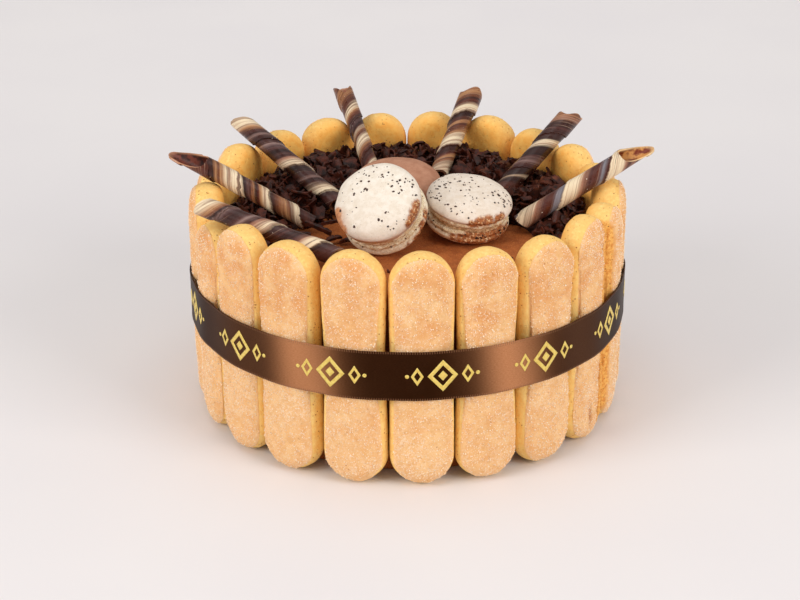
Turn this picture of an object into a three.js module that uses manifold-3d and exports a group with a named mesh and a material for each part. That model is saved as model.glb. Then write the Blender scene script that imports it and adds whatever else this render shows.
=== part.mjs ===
// Tiramisu charlotte: a round cream cake inside a ring of standing ladyfinger
// biscuits, tied with a ribbon, dusted with cocoa and topped with three
// macarons, seven rolled chocolate cigarillos and a heap of chocolate shavings.
// Millimetres, +Z up. The origin is the centre of the biscuit ring on the flat
// underside. Azimuths are degrees from the front (-Y) turning towards +X.

import * as THREE from 'three';
import { mergeVertices } from 'three/addons/utils/BufferGeometryUtils.js';
import Module from 'manifold-3d';

const wasm = await Module();
wasm.setup();

// ---------------------------------------------------------------- dimensions
const GAP = 0.3;                 // air left between touching pieces

const FINGER_LENGTH = 115;       // a standard ladyfinger
const FINGER_THICK = 17.6;       // crown to flat back
const FINGER_HALF_WIDTH = 15.5;  // where the neighbours leave that much room
const FINGER_RING_R = 98;        // centre of the biscuits' thickness
const FINGER_END_R = 15;         // roundness of the ends, seen from the front
const FINGER_EDGE_R = 9.2;       // roundness of the ends, seen from the side
const FINGER_SEGMENTS = 12;
const FINGER_RINGS = 10;
// one entry a biscuit: azimuth, length, radial shift, waist depth, lean
const FINGERS = [
  [-50.8, 114.6, 0.0, 0.3, 0.4],
  [-33.3, 114.9, 0.2, 0.5, 0.3],
  [-14.3, 115.6, 0.1, 1.2, 0.2],
  [3.9, 115.6, 0.0, 0.5, 0.0],
  [21.2, 115.2, 0.2, 1.3, 0.2],
  [39.4, 114.3, 0.3, 1.1, 0.4],
  [57.2, 115.4, 0.4, 0.7, 0.5],
  [73.1, 111.6, 0.0, 0.3, 0.3],
  [88.7, 114.6, 0.5, 0.4, 0.6],
  [104.2, 112.6, 0.2, 0.3, 0.2],
  [119.4, 114.2, 0.1, 0.5, 0.3],
  [137.0, 114.7, 0.0, 0.6, 0.4],
  [153.4, 116.6, 0.2, 0.4, 0.3],
  [171.9, 115.8, 0.1, 0.7, 0.2],
  [188.4, 115.0, 0.1, 0.5, 0.4],
  [205.4, 115.2, 0.2, 0.6, 0.3],
  [223.4, 114.5, 0.0, 0.4, 0.3],
  [242.0, 116.0, 0.2, 0.5, 0.4],
  [257.5, 114.4, 0.1, 0.4, 0.2],
  [274.7, 115.2, 0.3, 0.3, 0.6],
  [292.0, 106.4, 0.0, 0.4, 0.3],
];

const CORE_R = 87.8;             // cream cake inside the biscuits
const CORE_TOP = 92;             // height of the cocoa-dusted surface
const CORE_EDGE = 1.3;

const RIBBON_BOTTOM = 46.8;      // a 25 mm satin ribbon
const RIBBON_TOP = 71.3;
const RIBBON_THICK = 0.5;
const RIBBON_CLEAR = 0.5;
const RIBBON_SEGMENTS = 84;

// macarons: centre, azimuth and elevation of the axis, shell radius,
// half distance between the two rims, height of the dome
const MACARONS = {
  left: { at: [-12.1, -35.0, 112.1], az: -22, el: 47.5, r: 20.9, half: 6.2, dome: 7.0 },
  right: { at: [29.4, -17.8, 105.5], az: 29.3, el: 75.4, r: 20.9, half: 4.9, dome: 6.2 },
  cocoa: { at: [-4.8, 8.8, 104.7], az: 2, el: 80, r: 21.6, half: 4.9, dome: 6.2 },
};
const MACARON_SEGMENTS = 18;
const FOOT_HEIGHT = 2.6;         // the ruffled foot under each dome
const FILLING_HALF = 1.9;

// cigarillos: base centre, tip centre, radius at the base and at the tip,
// slant of the cut tip and the side on which the cut tip is longest
const ROLL_WALL = 1.3;
const ROLL_SEGMENTS = 14;
const ROLLS = [
  { a: [-47.9, -14.0, 97.3], b: [-106.5, -2.6, 127.0], ra: 4.3, rb: 5.3, slant: 1.75, long: [0, 0.5, -1.3] },
  { a: [-33.4, 4.9, 98.8], b: [-84.6, 61.3, 122.1], ra: 4.9, rb: 5.3, slant: 0.7, long: [-0.65, -0.86, -0.45] },
  { a: [-15.4, 34.8, 98.6], b: [-34.3, 112.6, 122.5], ra: 4.4, rb: 4.7, slant: 0.6, long: [0, 0.91, -0.41] },
  { a: [15.2, 41.8, 99.0], b: [33.4, 99.4, 122.8], ra: 4.9, rb: 5.2, slant: 0.6, long: [0.9, -0.46, 0.2] },
  { a: [47.7, 21.8, 98.8], b: [84.9, 71.2, 121.9], ra: 5.0, rb: 5.4, slant: 0.9, long: [0.75, 0.46, -0.93] },
  { a: [55.8, -14.2, 97.2], b: [111.4, -4.6, 129.7], ra: 4.5, rb: 5.1, slant: 1.6, long: [0, 0.5, -1.3] },
  { a: [-33.3, -57.6, 97.5], b: [-96.3, -39.4, 115.7], ra: 5.0, rb: 5.0, slant: 0.6, long: [0, -1, -0.6] },
];

// shavings: a horseshoe open at the front, from HEAP_START round the back
const HEAP_START = 65;
const HEAP_END = 302;
const HEAP_OUTER = 87.4;
const HEAP_THETA = 40;
const HEAP_RADIAL = 4;

// ------------------------------------------------------------------- helpers
const rad = THREE.MathUtils.degToRad;
const wrap = (a) => ((a % 360) + 360) % 360;

// a repeatable value from 0 to 1 for a whole number
function hash(n) {
  const s = Math.sin(n * 127.1 + 311.7) * 43758.5453;
  return s - Math.floor(s);
}

// smooth noise along one direction
function wave(x, seed) {
  const i = Math.floor(x);
  const f = x - i;
  const t = f * f * (3 - 2 * f);
  return hash(i + seed * 57) * (1 - t) + hash(i + 1 + seed * 57) * t;
}

function polar(az, r, z) {
  return new THREE.Vector3(r * Math.sin(rad(az)), -r * Math.cos(rad(az)), z);
}

// shared vertices merged and every face pointing out
function solid(geometry) {
  geometry.deleteAttribute('normal');
  geometry.deleteAttribute('uv');
  const g = mergeVertices(geometry, 1e-4);
  const index = Array.from(g.index.array);
  const p = g.attributes.position;
  const kept = [];
  const a = new THREE.Vector3();
  const b = new THREE.Vector3();
  const c = new THREE.Vector3();
  let volume = 0;
  for (let i = 0; i < index.length; i += 3) {
    const [x, y, z] = [index[i], index[i + 1], index[i + 2]];
    if (x === y || y === z || z === x) continue;
    a.fromBufferAttribute(p, x);
    b.fromBufferAttribute(p, y);
    c.fromBufferAttribute(p, z);
    volume += a.dot(b.cross(c)) / 6;
    kept.push(x, y, z);
  }
  if (volume < 0) {
    for (let i = 0; i < kept.length; i += 3) {
      [kept[i + 1], kept[i + 2]] = [kept[i + 2], kept[i + 1]];
    }
  }
  g.setIndex(kept);
  return g;
}

function toManifold(geometry) {
  const vertProperties = Float32Array.from(geometry.attributes.position.array);
  const triVerts = Uint32Array.from(geometry.index.array);
  return new wasm.Manifold(new wasm.Mesh({ numProp: 3, vertProperties, triVerts }));
}

function fromManifold(body) {
  const mesh = body.getMesh();
  const g = new THREE.BufferGeometry();
  g.setAttribute('position', new THREE.BufferAttribute(Float32Array.from(mesh.vertProperties), 3));
  g.setIndex(Array.from(mesh.triVerts));
  return g;
}

const cake = new THREE.Group();

function add(name, geometry, colour, roughness, parent = cake) {
  const material = new THREE.MeshStandardMaterial({ color: colour, roughness, metalness: 0, flatShading: false });
  geometry.computeVertexNormals();
  const mesh = new THREE.Mesh(geometry, material);
  mesh.name = name;
  parent.add(mesh);
  return mesh;
}

// ---------------------------------------------------------------- ladyfingers
// a biscuit stands in its own wedge of the ring: the wedge ends half way to
// each neighbour, so that the sides meet as they do when pressed together
function fingerAt(k) {
  const [az, length, shift, waist, lean] = FINGERS[k];
  const before = FINGERS[(k + FINGERS.length - 1) % FINGERS.length][0];
  const after = FINGERS[(k + 1) % FINGERS.length][0];
  const left = wrap(az - before) / 2;
  const right = wrap(after - az) / 2;
  return { az, length, waist, lean, r0: FINGER_RING_R + shift, left, right, thick: FINGER_THICK - 0.4 * hash(k + 3) };
}

const rounded = (d, r, p) => (d >= r ? 1 : Math.pow(Math.max(0, 1 - Math.pow(1 - d / r, p)), 1 / p));

// point of the biscuit's skin at height z and section angle phi
function fingerPoint(f, z, phi, scaleU, scaleV) {
  const n = 3.5;
  const c = Math.cos(phi);
  const s = Math.sin(phi);
  const cu = Math.sign(c) * Math.pow(Math.abs(c), 2 / n);
  const sv = Math.sign(s) * Math.pow(Math.abs(s), 2 / n);
  const r0 = f.r0 + f.lean * (z / FINGER_LENGTH - 0.5);
  const v = sv * f.thick / 2 * scaleV;
  const r = r0 + v;
  const half = Math.min(FINGER_HALF_WIDTH, r * Math.tan(rad(c > 0 ? f.right : f.left)) - GAP / 2);
  const middle = (z - FINGER_LENGTH * 0.52) / 24;
  const u = cu * (half - f.waist * Math.exp(-middle * middle)) * scaleU;
  const a = rad(f.az);
  return new THREE.Vector3(
    r * Math.sin(a) + u * Math.cos(a),
    -r * Math.cos(a) + u * Math.sin(a),
    z,
  );
}

function fingerGeometry(f) {
  const g = new THREE.SphereGeometry(1, FINGER_SEGMENTS, FINGER_RINGS);
  const p = g.attributes.position;
  const depth = [0, 0.9, 3.4, 8, 15, f.length * 0.5, f.length - 15, f.length - 7, f.length - 2.2, f.length, f.length];
  for (let i = 0; i < p.count; i++) {
    const ring = Math.round(Math.acos(THREE.MathUtils.clamp(p.getY(i), -1, 1)) / Math.PI * FINGER_RINGS);
    const phi = Math.atan2(p.getZ(i), p.getX(i));
    const d = depth[ring];
    const z = f.length - d;
    let su = 1;
    let sv = 1;
    if (ring === 0 || ring === FINGER_RINGS) {
      su = sv = 0;
    } else if (d < 20) {
      su = rounded(d, FINGER_END_R, 2.15);
      sv = rounded(d, FINGER_EDGE_R, 2.1);
    } else if (z < 20) {
      su = rounded(z + 0.9, FINGER_END_R, 2.15);
      sv = rounded(z + 0.9, FINGER_EDGE_R, 2.1);
    }
    const q = fingerPoint(f, z, phi, su, sv);
    p.setXYZ(i, q.x, q.y, q.z);
  }
  return solid(g);
}

FINGERS.forEach((row, k) => {
  add(`ladyfinger_${String(k + 1).padStart(2, '0')}`, fingerGeometry(fingerAt(k)), '#e9bd83', 0.85);
});

// ------------------------------------------------------------------ cake core
{
  const profile = [
    [0, 0], [CORE_R - CORE_EDGE, 0], [CORE_R, CORE_EDGE], [CORE_R, CORE_TOP - CORE_EDGE],
    [CORE_R - CORE_EDGE, CORE_TOP], [CORE_R * 0.66, CORE_TOP], [CORE_R * 0.33, CORE_TOP], [0, CORE_TOP],
  ].map(([x, y]) => new THREE.Vector2(x, y));
  const g = new THREE.LatheGeometry(profile, 42);
  g.rotateX(Math.PI / 2);
  add('cake_core', solid(g), '#99582f', 0.95);
}

// --------------------------------------------------------------------- ribbon
// pulled taut over the crowns of the biscuits: the convex outline of the ring
{
  const points = [];
  FINGERS.forEach((row, k) => {
    const f = fingerAt(k);
    for (const z of [RIBBON_BOTTOM - 2, (RIBBON_BOTTOM + RIBBON_TOP) / 2, RIBBON_TOP + 2]) {
      for (let i = 0; i < 48; i++) {
        const q = fingerPoint(f, z, i / 48 * 2 * Math.PI, 1, 1);
        points.push([q.x, q.y]);
      }
    }
  });
  points.sort((a, b) => a[0] - b[0] || a[1] - b[1]);
  const turn = (o, a, b) => (a[0] - o[0]) * (b[1] - o[1]) - (a[1] - o[1]) * (b[0] - o[0]);
  const half = (list) => {
    const h = [];
    for (const q of list) {
      while (h.length >= 2 && turn(h[h.length - 2], h[h.length - 1], q) <= 0) h.pop();
      h.push(q);
    }
    h.pop();
    return h;
  };
  const hull = half(points).concat(half(points.slice().reverse()));
  const reach = (angle) => {
    const dx = Math.cos(angle);
    const dy = Math.sin(angle);
    let best = 0;
    for (let i = 0; i < hull.length; i++) {
      const [ax, ay] = hull[i];
      const [bx, by] = hull[(i + 1) % hull.length];
      const ex = bx - ax;
      const ey = by - ay;
      const den = dx * ey - dy * ex;
      if (Math.abs(den) < 1e-9) continue;
      const t = (ax * ey - ay * ex) / den;
      const s = (ax * dy - ay * dx) / den;
      if (t > 0 && s >= -1e-6 && s <= 1 + 1e-6) best = Math.max(best, t);
    }
    return best;
  };
  const outline = (grow) => {
    const list = [];
    for (let i = 0; i < RIBBON_SEGMENTS; i++) {
      const angle = i / RIBBON_SEGMENTS * 2 * Math.PI;
      const r = reach(angle) + grow;
      list.push(new THREE.Vector2(r * Math.cos(angle), r * Math.sin(angle)));
    }
    return list;
  };
  const shape = new THREE.Shape(outline(RIBBON_CLEAR + RIBBON_THICK));
  shape.holes.push(new THREE.Path(outline(RIBBON_CLEAR).reverse()));
  const g = new THREE.ExtrudeGeometry(shape, { depth: RIBBON_TOP - RIBBON_BOTTOM, bevelEnabled: false, steps: 1 });
  g.translate(0, 0, RIBBON_BOTTOM);
  add('ribbon', solid(g), '#4b2c20', 0.4);
}

// ------------------------------------------------------------------- macarons
// a shell is a lathed body: flat inside, a ruffled foot, then a smooth dome
function shellProfile(m, grow = 0) {
  const top = m.half + m.dome;
  const list = [[0, FILLING_HALF + GAP - grow], [m.r - 2.0 + grow, FILLING_HALF + GAP - grow]];
  list.push([m.r - 1.0 + grow, FILLING_HALF + GAP + 0.8]);
  list.push([m.r - 0.9 + grow, FILLING_HALF + GAP + FOOT_HEIGHT - 0.4]);
  for (let i = 0; i <= 5; i++) {
    const t = i / 5 * Math.PI / 2;
    list.push([(m.r + grow) * Math.pow(Math.cos(t), 0.8), m.half + (m.dome + grow) * Math.pow(Math.sin(t), 1.0)]);
  }
  list[list.length - 1] = [0, top + grow];
  return list.map(([x, y]) => new THREE.Vector2(Math.max(0, x), y));
}

function fillingProfile(m, grow = 0) {
  const r = m.r - 2.2 + grow;
  const h = FILLING_HALF + grow;
  return [[0, -h], [r - 0.8, -h], [r, -h * 0.4], [r, h * 0.4], [r - 0.8, h], [0, h]].map(([x, y]) => new THREE.Vector2(x, y));
}

// turns the lathe's +Y axis to the macaron's axis
function macaronPlace(m, g) {
  const axis = new THREE.Vector3(
    Math.sin(rad(m.az)) * Math.cos(rad(m.el)),
    -Math.cos(rad(m.az)) * Math.cos(rad(m.el)),
    Math.sin(rad(m.el)),
  );
  g.applyQuaternion(new THREE.Quaternion().setFromUnitVectors(new THREE.Vector3(0, 1, 0), axis));
  g.translate(...m.at);
  return g;
}

const MACARON_COLOURS = { left: '#ece3d3', right: '#ece3d3', cocoa: '#bd8369' };
for (const [name, m] of Object.entries(MACARONS)) {
  const front = new THREE.LatheGeometry(shellProfile(m), MACARON_SEGMENTS);
  const back = new THREE.LatheGeometry(shellProfile(m), MACARON_SEGMENTS);
  back.scale(1, -1, 1);
  const filling = new THREE.LatheGeometry(fillingProfile(m), MACARON_SEGMENTS);
  add(`macaron_${name}_upper_shell`, solid(macaronPlace(m, front)), MACARON_COLOURS[name], 0.7);
  add(`macaron_${name}_filling`, solid(macaronPlace(m, filling)), name === 'cocoa' ? '#6b3f2a' : '#c9b48c', 0.6);
  add(`macaron_${name}_lower_shell`, solid(macaronPlace(m, back)), MACARON_COLOURS[name], 0.7);
}

// one closed body round a whole macaron, for the room it takes in the heap
function macaronEnvelope(m, grow) {
  const upper = shellProfile(m, grow).slice(3);
  const list = upper.slice().reverse().map((q) => new THREE.Vector2(q.x, -q.y)).concat(upper);
  return solid(macaronPlace(m, new THREE.LatheGeometry(list, MACARON_SEGMENTS)));
}

// ----------------------------------------------------------------- cigarillos
// a hollow roll: a closed ring profile turned about the axis, with a slant cut
function rollGeometry(roll, grow = 0) {
  const a = new THREE.Vector3(...roll.a);
  const b = new THREE.Vector3(...roll.b);
  const axis = b.clone().sub(a);
  const length = axis.length();
  axis.normalize();
  const ra = roll.ra + grow;
  const rb = roll.rb + grow;
  const closed = grow > 0;
  const profile = closed
    ? [[0, -grow - 0.5 * ra], [ra, -grow - 0.5 * ra], [rb, length + grow + roll.slant * rb], [0, length + grow + roll.slant * rb]]
    : [[ra, 0], [rb, length], [rb - ROLL_WALL, length], [ra - ROLL_WALL, 0], [ra, 0]];
  const g = new THREE.LatheGeometry(profile.map(([x, y]) => new THREE.Vector2(x, y)), ROLL_SEGMENTS);
  const turn = new THREE.Quaternion().setFromUnitVectors(new THREE.Vector3(0, 1, 0), axis);
  g.applyQuaternion(turn);
  // the tip is cut on a slant: each point of it slides along the axis
  const long = new THREE.Vector3(...roll.long);
  long.addScaledVector(axis, -long.dot(axis)).normalize();
  const p = g.attributes.position;
  const q = new THREE.Vector3();
  for (let i = 0; i < p.count; i++) {
    q.fromBufferAttribute(p, i);
    const s = q.dot(axis);
    const side = q.dot(long);
    if (!closed && s > length / 2) q.addScaledVector(axis, side * roll.slant);
    if (!closed && s < length / 2) q.addScaledVector(axis, side * 0.5);
    q.add(a);
    p.setXYZ(i, q.x, q.y, q.z);
  }
  return solid(g);
}

ROLLS.forEach((roll, k) => {
  add(`cigarillo_${k + 1}`, rollGeometry(roll), '#5a3527', 0.45);
});

// ------------------------------------------------------------------- shavings
// a box bent into a horseshoe with an uneven top, then cut clear of what
// stands in it
{
  const g = new THREE.BoxGeometry(1, 1, 1, HEAP_THETA, HEAP_RADIAL, 1);
  const p = g.attributes.position;
  for (let i = 0; i < p.count; i++) {
    const t = p.getX(i) + 0.5;
    const s = p.getY(i) + 0.5;
    const up = p.getZ(i) > 0;
    const az = HEAP_START + (HEAP_END - HEAP_START) * t;
    const ends = Math.min(1, Math.min(t, 1 - t) * 9);
    const inner = 40 + 8 * wave(az / 25, 3) - 7 * Math.exp(-(((az - 180) / 40) ** 2)) + (1 - ends) * 18;
    const r = inner + (HEAP_OUTER - inner) * s;
    const bulge = Math.sin(Math.PI * (0.16 + 0.72 * s));
    const top = 1.2 + ends * (1.6 + 4.2 * bulge + 3.4 * (wave(az / 9, 5 + Math.round(s * HEAP_RADIAL)) - 0.4));
    const q = polar(az, r, CORE_TOP + GAP + (up ? Math.max(0.8, top) : 0));
    p.setXYZ(i, q.x, q.y, q.z);
  }
  let heap = toManifold(solid(g));
  for (const roll of ROLLS) heap = heap.subtract(toManifold(rollGeometry(roll, GAP + 0.05)));
  for (const m of Object.values(MACARONS)) heap = heap.subtract(toManifold(macaronEnvelope(m, GAP + 0.05)));
  const pieces = heap.decompose();
  pieces.sort((x, y) => y.volume() - x.volume());
  add('shavings_heap', fromManifold(pieces[0]), '#2e1a14', 0.6);
}

export default cake;
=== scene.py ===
"""Tiramisu cake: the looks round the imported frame.

Lengths in the helpers are millimetres in the CAD's own frame; make() turns
them into metres. Azimuths are degrees from the front (-Y) towards +X.
"""

import math

import bpy
import numpy as np
from mathutils import Matrix, Vector


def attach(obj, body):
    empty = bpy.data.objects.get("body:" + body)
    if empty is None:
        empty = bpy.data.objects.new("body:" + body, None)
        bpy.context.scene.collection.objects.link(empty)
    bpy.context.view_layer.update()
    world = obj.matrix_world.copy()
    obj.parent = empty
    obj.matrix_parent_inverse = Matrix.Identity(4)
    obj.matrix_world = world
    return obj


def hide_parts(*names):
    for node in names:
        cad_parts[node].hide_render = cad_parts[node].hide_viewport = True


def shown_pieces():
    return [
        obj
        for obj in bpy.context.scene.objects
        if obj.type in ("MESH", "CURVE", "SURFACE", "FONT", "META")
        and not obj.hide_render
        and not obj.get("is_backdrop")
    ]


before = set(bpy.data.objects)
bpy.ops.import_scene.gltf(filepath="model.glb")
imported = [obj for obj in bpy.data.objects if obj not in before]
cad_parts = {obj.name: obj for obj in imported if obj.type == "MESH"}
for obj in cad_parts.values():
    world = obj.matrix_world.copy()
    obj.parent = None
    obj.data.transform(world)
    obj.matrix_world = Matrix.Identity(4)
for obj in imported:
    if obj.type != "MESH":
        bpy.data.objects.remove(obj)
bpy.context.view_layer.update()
rng = np.random.default_rng(20)

# ------------------------------------------------- sizes, as in the CAD source
FINGER_LENGTH = 115
FINGER_THICK = 17.6
FINGER_HALF_WIDTH = 15.5
FINGER_RING_R = 98
FINGER_END_R = 15
GAP = 0.3
FINGERS = [  # azimuth, length, radial shift, waist, lean
    (-50.8, 114.6, 0.0, 0.3, 0.4), (-33.3, 114.9, 0.2, 0.5, 0.3),
    (-14.3, 115.6, 0.1, 1.2, 0.2), (3.9, 115.6, 0.0, 0.5, 0.0),
    (21.2, 115.2, 0.2, 1.3, 0.2), (39.4, 114.3, 0.3, 1.1, 0.4),
    (57.2, 115.4, 0.4, 0.7, 0.5), (73.1, 111.6, 0.0, 0.3, 0.3),
    (88.7, 114.6, 0.5, 0.4, 0.6), (104.2, 112.6, 0.2, 0.3, 0.2),
    (119.4, 114.2, 0.1, 0.5, 0.3), (137.0, 114.7, 0.0, 0.6, 0.4),
    (153.4, 116.6, 0.2, 0.4, 0.3), (171.9, 115.8, 0.1, 0.7, 0.2),
    (188.4, 115.0, 0.1, 0.5, 0.4), (205.4, 115.2, 0.2, 0.6, 0.3),
    (223.4, 114.5, 0.0, 0.4, 0.3), (242.0, 116.0, 0.2, 0.5, 0.4),
    (257.5, 114.4, 0.1, 0.4, 0.2), (274.7, 115.2, 0.3, 0.3, 0.6),
    (292.0, 106.4, 0.0, 0.4, 0.3),
]
CORE_R = 87.8
CORE_TOP = 92
RIBBON_BOTTOM, RIBBON_TOP, RIBBON_THICK, RIBBON_CLEAR = 46.8, 71.3, 0.5, 0.5
MACARONS = {
    "left": dict(at=(-12.1, -35.0, 112.1), az=-22, el=47.5, r=20.9, half=6.2, dome=7.0),
    "right": dict(at=(29.4, -17.8, 105.5), az=29.3, el=75.4, r=20.9, half=4.9, dome=6.2),
    "cocoa": dict(at=(-4.8, 8.8, 104.7), az=2, el=80, r=21.6, half=4.9, dome=6.2),
}
FILLING_HALF = 1.9
ROLL_WALL = 1.3
ROLLS = [
    dict(a=(-47.9, -14.0, 97.3), b=(-106.5, -2.6, 127.0), ra=4.3, rb=5.3, slant=1.75, long=(0, 0.5, -1.3), hand=1, seam=4.8, pitch=34),
    dict(a=(-33.4, 4.9, 98.8), b=(-84.6, 61.3, 122.1), ra=4.9, rb=5.3, slant=0.85, long=(-0.65, -0.86, -0.45), hand=-1, seam=10.8, pitch=27.3),
    dict(a=(-15.4, 34.8, 98.6), b=(-34.3, 112.6, 122.5), ra=4.4, rb=4.7, slant=0.6, long=(0, 0.91, -0.41), hand=1, seam=23, pitch=29),
    dict(a=(15.2, 41.8, 99.0), b=(33.4, 99.4, 122.8), ra=4.9, rb=5.2, slant=0.6, long=(0.9, -0.46, 0.2), hand=1, seam=16.1, pitch=25),
    dict(a=(47.7, 21.8, 98.8), b=(84.9, 71.2, 121.9), ra=5.0, rb=5.4, slant=0.9, long=(0.75, 0.46, -0.93), hand=1, seam=17.2, pitch=29),
    dict(a=(55.8, -14.2, 97.2), b=(111.4, -4.6, 129.7), ra=4.5, rb=5.1, slant=1.6, long=(0, 0.5, -1.3), hand=-1, seam=23, pitch=26.4),
    dict(a=(-33.3, -57.6, 97.5), b=(-96.3, -39.4, 115.7), ra=5.0, rb=5.0, slant=0.6, long=(0, -1, -0.6), hand=-1, seam=11.9, pitch=23),
]
HEAP_START, HEAP_END, HEAP_OUTER = 65, 302, 87.4


# ------------------------------------------------------------------ mathematics
def cad_hash(n):
    s = math.sin(n * 127.1 + 311.7) * 43758.5453
    return s - math.floor(s)


def cad_wave(x, seed):
    i = math.floor(x)
    t = (x - i) ** 2 * (3 - 2 * (x - i))
    return cad_hash(i + seed * 57) * (1 - t) + cad_hash(i + 1 + seed * 57) * t


def smooth(x, lo, hi):
    t = np.clip((np.asarray(x, float) - lo) / (hi - lo), 0, 1)
    return t * t * (3 - 2 * t)


def unit(v):
    v = np.asarray(v, float)
    return v / np.maximum(np.linalg.norm(v, axis=-1, keepdims=True), 1e-12)


def _lattice(i, seed):
    h = (i[..., 0] * 73856093) ^ (i[..., 1] * 19349663) ^ (i[..., 2] * 83492791) ^ (seed * 2654435761)
    h &= 0xFFFFFFFF
    for _ in range(2):
        h = ((h >> 16) ^ h) * 0x45D9F3B & 0xFFFFFFFF
    h = (h >> 16) ^ h
    return h / 2147483647.5 - 1


def noise(p, size, seed=0):
    """Smooth value noise from -1 to 1 at points p, with features of that size in mm."""
    q = np.asarray(p, float) / size + 17.13 * seed
    i = np.floor(q).astype(np.int64)
    f = q - i
    w = f * f * (3 - 2 * f)
    out = 0
    for dx in (0, 1):
        for dy in (0, 1):
            for dz in (0, 1):
                c = _lattice(i + np.array([dx, dy, dz]), seed)
                out = out + c * np.where(dx, w[..., 0], 1 - w[..., 0]) * np.where(dy, w[..., 1], 1 - w[..., 1]) * np.where(dz, w[..., 2], 1 - w[..., 2])
    return out


def fbm(p, size, octaves=3, seed=0, gain=0.5):
    out, amp, total = 0, 1.0, 0.0
    for k in range(octaves):
        out = out + amp * noise(p, size / 2 ** k, seed + 31 * k)
        total += amp
        amp *= gain
    return out / total


def polar(az, r, z):
    a = np.radians(az)
    return np.stack(np.broadcast_arrays(r * np.sin(a), -r * np.cos(a), z), -1)


# ----------------------------------------------------------------- mesh helpers
def grid(n, m, wrap_m=False, first=0):
    """Quads of an n by m grid of points, row by row."""
    i = np.arange(n - 1)[:, None]
    j = np.arange(m if wrap_m else m - 1)[None, :]
    k = (j + 1) % m
    return (np.stack(np.broadcast_arrays(i * m + j, i * m + k, (i + 1) * m + k, (i + 1) * m + j), -1).reshape(-1, 4)) + first


def weld(co, faces, masks, tol=2e-3):
    """Merges points that coincide and drops the faces that collapse."""
    key = np.round(co / tol + 0.137).astype(np.int64)
    _, keep, back = np.unique(key, axis=0, return_index=True, return_inverse=True)
    back = back.reshape(-1)
    co = co[keep]
    masks = {n: v[keep] for n, v in masks.items()}
    out = []
    for f in faces:
        f = back[f]
        if f.shape[1] == 3:
            ok = (f[:, 0] != f[:, 1]) & (f[:, 1] != f[:, 2]) & (f[:, 2] != f[:, 0])
            out.append(f[ok])
            continue
        same = np.stack([f[:, i] == f[:, (i + 1) % 4] for i in range(4)], 1)
        cross = (f[:, 0] == f[:, 2]) | (f[:, 1] == f[:, 3])
        n = same.sum(1)
        out.append(f[(n == 0) & ~cross])
        for i in range(4):
            pick = f[(n == 1) & same[:, i] & ~cross]
            out.append(np.delete(pick, i, axis=1))
    return co, [f for f in out if len(f)], masks


def normals(co, faces):
    n = np.zeros_like(co)
    for f in faces:
        a = co[f]
        if f.shape[1] == 4:
            c = np.cross(a[:, 2] - a[:, 0], a[:, 3] - a[:, 1])
        else:
            c = np.cross(a[:, 1] - a[:, 0], a[:, 2] - a[:, 0])
        for i in range(f.shape[1]):
            np.add.at(n, f[:, i], c)
    return unit(n)


def make(name, co, faces, material, masks=None, smooth_faces=True, replaces=()):
    faces = [np.asarray(f, np.int64) for f in (faces if isinstance(faces, list) else [faces])]
    masks = masks or {}
    me = bpy.data.meshes.new(name)
    me.vertices.add(len(co))
    me.vertices.foreach_set("co", (np.asarray(co, float) / 1000).astype(np.float32).ravel())
    loops = np.concatenate([f.ravel() for f in faces])
    sizes = np.concatenate([np.full(len(f), f.shape[1]) for f in faces])
    me.loops.add(len(loops))
    me.loops.foreach_set("vertex_index", loops.astype(np.int32))
    me.polygons.add(len(sizes))
    starts = np.concatenate([[0], np.cumsum(sizes)[:-1]])
    me.polygons.foreach_set("loop_start", starts.astype(np.int32))
    me.polygons.foreach_set("use_smooth", np.full(len(sizes), bool(smooth_faces)))
    me.update(calc_edges=True)
    me.validate()
    for n, v in masks.items():
        a = me.attributes.new(n, "FLOAT", "POINT")
        a.data.foreach_set("value", np.asarray(v, np.float32))
    me.materials.append(material)
    ob = bpy.data.objects.new(name, me)
    bpy.context.scene.collection.objects.link(ob)
    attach(ob, "root")
    if replaces:
        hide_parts(*replaces)
    return ob


# ------------------------------------------------------------------ node helper
def srgb(r, g, b):
    return tuple((c / 255 / 12.92) if c / 255 <= 0.04045 else ((c / 255 + 0.055) / 1.055) ** 2.4 for c in (r, g, b)) + (1.0,)


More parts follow.
